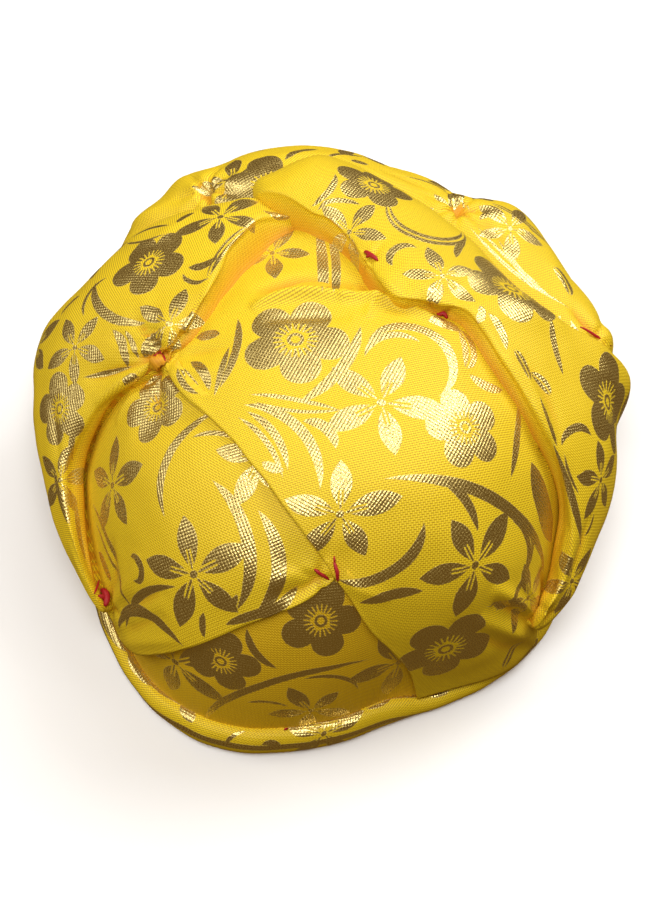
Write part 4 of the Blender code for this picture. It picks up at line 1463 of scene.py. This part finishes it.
left_face, left_back = wound(WRAP_LEFT, upper_section)
left_wrap_laid = flat_pattern(left_face)
LEFT_WRAP_FLOWERS = (
    ("round", 149, 261, 179, 233),
    ("leaf", 220, 216, 215, 247),
    ("leaf", 75, 347, 99, 315),
    ("leaf", 170, 324, 186, 286),
    ("round", 60, 408, 52, 440),
    ("leaf", 60, 480, 66, 450),
)
LEFT_WRAP_STROKES = (
    (250, 226, 225, 247, 209, 280, 3.6, 0.6),
    (209, 280, 200, 284, 182, 274, 2.2, 0),
    (188, 267, 203, 266, 218, 257, 4.2, 0),
    (97, 283, 107, 313, 145, 322, 4.4, 0),
    (108, 278, 90, 293, 84, 315, 2.0, 0),
    (113, 330, 123, 346, 129, 364, 4.2, 0),
    (125, 330, 132, 341, 139, 354, 2.8, 0),
    (84, 377, 105, 371, 130, 365, 2.4, 0),
    (125, 382, 132, 377, 139, 374, 3.4, 0),
    (263, 211, 275, 216, 291, 213, 5.0, 0),
    (178, 223, 186, 216, 195, 212, 3.4, 0),
    (60, 315, 68, 304, 79, 296, 2.6, 0),
    (133, 238, 150, 228, 170, 225, 1.8, 0),
    (128, 243, 148, 240, 165, 234, 1.4, 0),
    (75, 428, 71, 445, 75, 462, 3.0, 0),
    (88, 560, 80, 530, 75, 500, 2.6, 0),
    (53, 470, 60, 500, 70, 525, 3.4, 0),
)
LEFT_WRAP_CREASES = (
    (258, 198, 280, 207, 302, 219, 3.2, 1.5, -3.0),
    (156, 360, 128, 368, 84, 380, 2.6, 1.5, -2.6),
    (154, 356, 134, 344, 112, 334, 2.2, 1.5, -1.4),
    (154, 366, 126, 380, 94, 404, 3.2, 1.6, 1.8),
    (152, 352, 130, 352, 100, 356, 3.6, 1.6, 1.2),
    (157, 348, 142, 330, 126, 318, 3.2, 1.6, -1.2),
    (164, 346, 166, 330, 168, 310, 3.0, 1.6, 1.2),
    (170, 350, 186, 326, 204, 300, 2.6, 1.6, -1.2),
    (232, 250, 216, 276, 204, 300, 4.0, 1.8, 0.8),
    (228, 206, 252, 200, 280, 206, 2.6, 1.6, 0.9),
    (232, 197, 256, 192, 282, 202, 2.2, 1.6, -0.9),
    (128, 244, 160, 236, 196, 210, 3.6, 1.8, 1.0),
    (52, 396, 54, 430, 60, 462, 2.8, 1.6, -1.2),
    (86, 428, 76, 456, 74, 500, 3.0, 1.6, -1.2),
    (66, 440, 62, 480, 72, 540, 3.0, 1.6, 1.0),
    (100, 590, 88, 560, 80, 520, 2.6, 1.5, -1.2),
    (96, 596, 82, 572, 70, 540, 2.6, 1.5, 1.0),
)
LEFT_WRAP_TACKS = (
    (158, 357, 20, 7, 20, 1.9, 3.0),
    (103, 598, 12, 3, 20, 0.6, 1.4),
)
LEFT_WRAP_ROUND_FLOWERS = (
    ("round", 150, 40, 157, 44),
    ("leaf", 167, 34, 174, 38),
    ("leaf", 160, 62, 166, 70),
    ("leaf", 141, 72, 147, 66),
)
LEFT_WRAP_ROUND_STROKES = (
    (143, 32, 150, 29, 157, 32, 3.2, 0),
    (160, 26, 164, 24, 170, 25, 3.0, 0),
    (176, 26, 184, 28, 192, 34, 3.2, 0.6),
    (144, 54, 150, 60, 152, 68, 3.0, 0),
    (158, 46, 164, 50, 172, 48, 3.2, 0),
)
left_wrap_print = charted(left_face, left_wrap_laid, from_front, LEFT_WRAP_FLOWERS, LEFT_WRAP_STROKES)
left_wrap_print += charted(
    left_face, left_wrap_laid, from_side, LEFT_WRAP_ROUND_FLOWERS, LEFT_WRAP_ROUND_STROKES,
)
left_face = rumpled(left_face, seed=5, amount=1.0, scale=30)
left_face, left_wrap_laid = creased(
    left_face, with_painted_wall_shade(left_wrap_laid), LEFT_WRAP_CREASES, LEFT_WRAP_TACKS,
)
wrap_left = make_wrap("left_wrap_cloth", left_face, left_back, left_wrap_laid, left_wrap_print, "wrap_left")


# The right wrap. The other end of the length lies over the outer wrap from the back to the right,
# with a soft rolled inner edge over the crown, and is pinched in at the hem at the front right.
# Its table has the left wrap's columns.
WRAP_RIGHT = (
    (110, 98, 104, 103, 104.5, 109, 98, 102, 86, 72),
    (104, 89, 109, 99, 109.5, 112, 96, 105, 82, 66),
    (97.5, 78, 111, 101, 111, 120, 92, 109, 79, 62),
    (93, 74, 112, 98, 111.5, 124, 89, 108, 75, 62),
    (87, 66, 112, 93, 111, 119, 88, 105, 73, 62),
    (80, 55, 115, 84, 113, 113, 87, 102, 72, 62),
    (71, 45, 118, 73, 116, 106, 87, 98, 71, 62),
    (62, 39.5, 120.5, 67, 118, 101, 86, 96, 70, 62),
    (53, 37.5, 121, 65, 118.5, 98, 85, 94, 70, 62),
    (44, 40.5, 121, 67, 117.5, 96, 83, 93, 69, 62),
    (36, 47.5, 118, 71, 114, 97, 80, 94, 68, 62),
    (28, 55.5, 117, 78, 112, 100, 79, 96, 68, 62),
    (22, 58, 116, 84, 108, 106, 77, 99, 66, 62),
    (16, 60, 114, 88, 102, 127.5, 52, 116, 27, 20),
    (7, 63, 112, 91, 97, 118, 50, 113, 25, 17),
    (357, 70, 107, 95, 91, 115.5, 48, 109, 24, 17),
    (348, 81, 97, 99, 82, 113, 47, 108, 24, 18),
    (340, 94, 76, 105, 68, 111, 45, 107, 25, 19),
    (333, 101.5, 61, 107, 57, 111, 41, 107, 26, 21),
    (327, 104.5, 49, 109, 46, 111.5, 38, 108, 28, 23),
    (322, 105, 45, 108, 43, 110, 36, 109, 31, 26),
    (318, 106, 38, 108, 37, 109, 34, 108, 31, 28),
)
right_face, right_back = wound(WRAP_RIGHT, upper_section)
right_wrap_laid = flat_pattern(right_face)
RIGHT_WRAP_FLOWERS = (
    ("round", 374, 185, 345, 193),
    ("round", 510, 289, 509, 327),
    ("round", 607, 402, 578, 372),
    ("leaf", 351, 231, 390, 238),
    ("leaf", 440, 275, 401, 275),
    ("leaf", 600, 479, 596, 439),
    ("leaf", 572, 580, 584, 560),
)
RIGHT_WRAP_STROKES = (
    (312, 206, 328, 192, 336, 174, 3.2, 0),
    (318, 210, 337, 201, 360, 204, 2.8, 0),
    (391, 203, 411, 234, 459, 232, 5.6, 0.9),
    (393, 266, 401, 244, 418, 247, 3.6, 0),
    (456, 257, 459, 247, 465, 241, 3.4, 0),
    (561, 443, 560, 428, 590, 435, 3.6, 0),
    (562, 448, 568, 470, 578, 491, 1.4, 0),
    (553, 442, 571, 496, 583, 546, 3.6, 0),
    (594, 512, 592, 523, 586, 535, 1.4, 0),
    (478, 305, 481, 314, 478, 323, 4.0, 0),
    (487, 313, 499, 329, 505, 349, 3.8, 0),
    (512, 348, 522, 362, 528, 380, 4.4, 0.6),
    (530, 372, 541, 378, 551, 392, 4.6, 0.6),
    (549, 317, 553, 340, 563, 374, 3.6, 0),
    (536, 395, 548, 420, 558, 445, 2.4, 0),
)
RIGHT_WRAP_CREASES = (
    (318, 224, 342, 242, 372, 268, 2.2, 1.5, 0.9),
    (376, 272, 392, 286, 408, 312, 2.4, 1.5, 1.2),
    (410, 300, 440, 312, 478, 330, 3.2, 1.6, -1.6),
    (400, 262, 425, 288, 458, 306, 3.4, 1.6, 1.2),
    (505, 352, 530, 386, 548, 440, 3.0, 1.6, 1.4),
    (520, 352, 548, 398, 562, 450, 3.4, 1.6, -1.4),
    (548, 440, 560, 500, 558, 560, 2.8, 1.6, -1.6),
    (556, 594, 562, 560, 568, 530, 2.8, 1.6, 1.6),
    (570, 580, 582, 548, 590, 515, 3.0, 1.6, -1.4),
    (470, 236, 505, 268, 545, 306, 3.6, 1.8, -1.0),
    (548, 306, 560, 330, 575, 356, 4.0, 1.8, 0.8),
    (600, 364, 612, 380, 618, 400, 3.6, 1.8, 0.9),
)
RIGHT_WRAP_TACKS = (
    (550, 616, 12, 3, 10, 0.6, 1.6),
    (371, 257, 8, 5, 0, 0.8, 1.4),
    (441, 321, 9, 5, 40, 0.9, 1.4),
)
RIGHT_WRAP_ROUND_FLOWERS = (
    ("round", 10, 38, 17, 40),
    ("leaf", 350, 32, 357, 36),
)
RIGHT_WRAP_ROUND_STROKES = (
    (358, 31, 3, 28, 9, 31, 3.2, 0),
    (340, 28, 345, 26, 350, 24, 3.0, 0),
    (356, 48, 2, 52, 8, 60, 3.2, 0.6),
    (330, 32, 335, 36, 341, 36, 3.0, 0),
)
right_wrap_print = charted(right_face, right_wrap_laid, from_front, RIGHT_WRAP_FLOWERS, RIGHT_WRAP_STROKES)
right_wrap_print += charted(
    right_face, right_wrap_laid, from_side, RIGHT_WRAP_ROUND_FLOWERS, RIGHT_WRAP_ROUND_STROKES,
)
right_face = rumpled(right_face, seed=6, amount=1.0, scale=30)
right_face, right_wrap_laid = creased(
    right_face, with_painted_wall_shade(right_wrap_laid), RIGHT_WRAP_CREASES, RIGHT_WRAP_TACKS,
)
wrap_right = make_wrap(
    "right_wrap_cloth", right_face, right_back, right_wrap_laid, right_wrap_print, "wrap_right",
)


# The tacks. Bare stitches of dark red cotton thread hold the folds in the pits and at the hem:
# a pair in a V at the front, single stitches along the wraps, and small knots at the left.
THREAD_RED, THREAD_ROUGHNESS = (0.40, 0.006, 0.012), 0.6
THREAD_SIDES, STITCH_STEPS = 6, 12
# How far a stitch stands out at its ends and, beyond that, in its middle, in its own thicknesses.
STITCH_SEAT, STITCH_ARCH = 0.1, 0.7
# How thick a stitch is at its ends, as a share of its middle, and how soon it is thick.
STITCH_END, STITCH_SWELL = 0.35, 0.5
# Columns: the thread's thickness in millimetres, then places as seen from end to end.
STITCHES = (
    (1.5, (314, 569, 321, 573, 329, 580)),
    (1.5, (334, 561, 337, 571, 338, 581)),
    (0.8, (334, 556, 335, 563)),
    (2.0, (364, 252, 371, 256, 378, 261)),
    (1.5, (366, 257, 374, 258)),
    (1.8, (437, 313, 442, 316, 447, 319)),
    (1.2, (580, 327, 594, 335, 611, 346)),
    (1.2, (160, 349, 162, 354, 165, 361)),
    (0.9, (153, 356, 159, 352)),
    (3.2, (101, 590, 104, 597, 104, 606)),
    (2.4, (98, 596, 103, 600, 108, 598)),
    (1.0, (94, 594, 96, 587, 99, 580)),
    (1.0, (284, 730, 288, 729)),
)


graph = bpy.context.evaluated_depsgraph_get()
all_cloth = (hem, cap, drape_left, drape_right, wrap_outer, wrap_left, wrap_right)
cloth_trees = [BVHTree.FromObject(piece, graph) for piece in all_cloth]


def on_cloth(across, down):
    """Where the line of sight first meets any cloth, and the cloth's normal there, turned towards the eye."""
    met = [tree.ray_cast(*from_front(across, down)) for tree in cloth_trees]
    spot, normal, _, _ = min((hit for hit in met if hit[0] is not None), key=lambda hit: hit[3])
    return spot, normal if normal.dot(FRONT[3]) > 0 else -normal


def stitch_tube(thickness, places):
    """The rings of a stitch's tube, which stands a little out of the cloth between its ends."""
    spots = [on_cloth(across, down) for across, down in zip(places[::2], places[1::2])]
    path = []
    for step in range(STITCH_STEPS + 1):
        share = step / STITCH_STEPS * (len(spots) - 1)
        index = min(int(share), len(spots) - 2)
        spot = spots[index][0].lerp(spots[index + 1][0], share - index)
        normal = spots[index][1].lerp(spots[index + 1][1], share - index)
        arch = math.sin(math.pi * step / STITCH_STEPS)
        path.append((spot + normal * thickness * MM * (arch * STITCH_ARCH + STITCH_SEAT), normal))
    rings = []
    for index, (spot, normal) in enumerate(path):
        run = (path[min(index + 1, STITCH_STEPS)][0] - path[max(index - 1, 0)][0]).normalized()
        side = run.cross(normal).normalized()
        rise = run.cross(side)
        fullness = STITCH_END + (1 - STITCH_END) * math.sin(math.pi * index / STITCH_STEPS) ** STITCH_SWELL
        radius = thickness / 2 * MM * fullness
        rings.append([
            spot + (side * math.cos(turn) + rise * math.sin(turn)) * radius
            for turn in (2 * math.pi * k / THREAD_SIDES for k in range(THREAD_SIDES))
        ])
    return rings


thread_points, thread_faces = [], []
for stitch in STITCHES:
    rings = stitch_tube(*stitch)
    first = len(thread_points)
    thread_points += [tuple(spot) for ring in rings for spot in ring]
    for corner in range(first, first + (len(rings) - 1) * THREAD_SIDES, THREAD_SIDES):
        for k in range(THREAD_SIDES):
            here, following = corner + k, corner + (k + 1) % THREAD_SIDES
            thread_faces.append((here, following, following + THREAD_SIDES, here + THREAD_SIDES))
    last = len(thread_points) - THREAD_SIDES
    thread_faces.append([first + k for k in reversed(range(THREAD_SIDES))])
    thread_faces.append([last + k for k in range(THREAD_SIDES)])


def plain_finish(name, colour, roughness):
    """A material of one colour."""
    made = bpy.data.materials.new(name)
    made.use_nodes = True
    shader = made.node_tree.nodes["Principled BSDF"]
    feed(shader.inputs["Base Color"], colour)
    feed(shader.inputs["Roughness"], roughness)
    return made


thread_mesh = bpy.data.meshes.new("tacking_thread")
thread_mesh.from_pydata(thread_points, [], thread_faces)
thread_mesh.shade_smooth()
thread_mesh.materials.append(plain_finish("tacking_thread", THREAD_RED, THREAD_ROUGHNESS))
thread = bpy.data.objects.new("tacking_thread", thread_mesh)
bpy.context.scene.collection.objects.link(thread)
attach(thread, "root")


# The floor and the light. A plain pale table top, and four broad soft lights: strong ones high behind the
# right shoulder of the turban and above its front, and weak ones from the left and from the back.
FLOOR_WHITE, FLOOR_ROUGHNESS = (0.95, 0.95, 0.95), 0.8
WARM_AIR, AIR_STRENGTH = (1, 0.62, 0.20, 1), 0.14
LIGHTS_FACE = Vector((0, 0, 0.05))
# Columns: name, place in metres, width in metres, power in watts.
LIGHTS = (
    ("window_light", (0.94, 0.76, 1.19), 0.8, 16.2),
    ("left_light", (-1.36, 0.17, 1.05), 1.0, 8),
    ("front_light", (-0.10, -0.50, 1.68), 0.9, 19),
    ("top_light", (0.3, 0.90, 1.45), 0.8, 6),
)
bpy.ops.mesh.primitive_plane_add(size=6.0, location=(0, 0, 0))
floor = bpy.context.object
floor.name = "floor"
floor.data.materials.append(plain_finish("floor_paint", FLOOR_WHITE, FLOOR_ROUGHNESS))
floor.visible_diffuse = False
floor.visible_glossy = False

for name, place, width, power in LIGHTS:
    light = bpy.data.lights.new(name, "AREA")
    light.size = width
    light.energy = power
    lamp = bpy.data.objects.new(name, light)
    lamp.location = place
    lamp.rotation_mode = "QUATERNION"
    lamp.rotation_quaternion = (LIGHTS_FACE - Vector(place)).to_track_quat("-Z", "Y")
    bpy.context.scene.collection.objects.link(lamp)

world = bpy.data.worlds.new("studio")
world.use_nodes = True
world.node_tree.nodes["Background"].inputs["Color"].default_value = WARM_AIR
world.node_tree.nodes["Background"].inputs["Strength"].default_value = AIR_STRENGTH
bpy.context.scene.world = world
bpy.context.scene.view_settings.view_transform = "Standard"
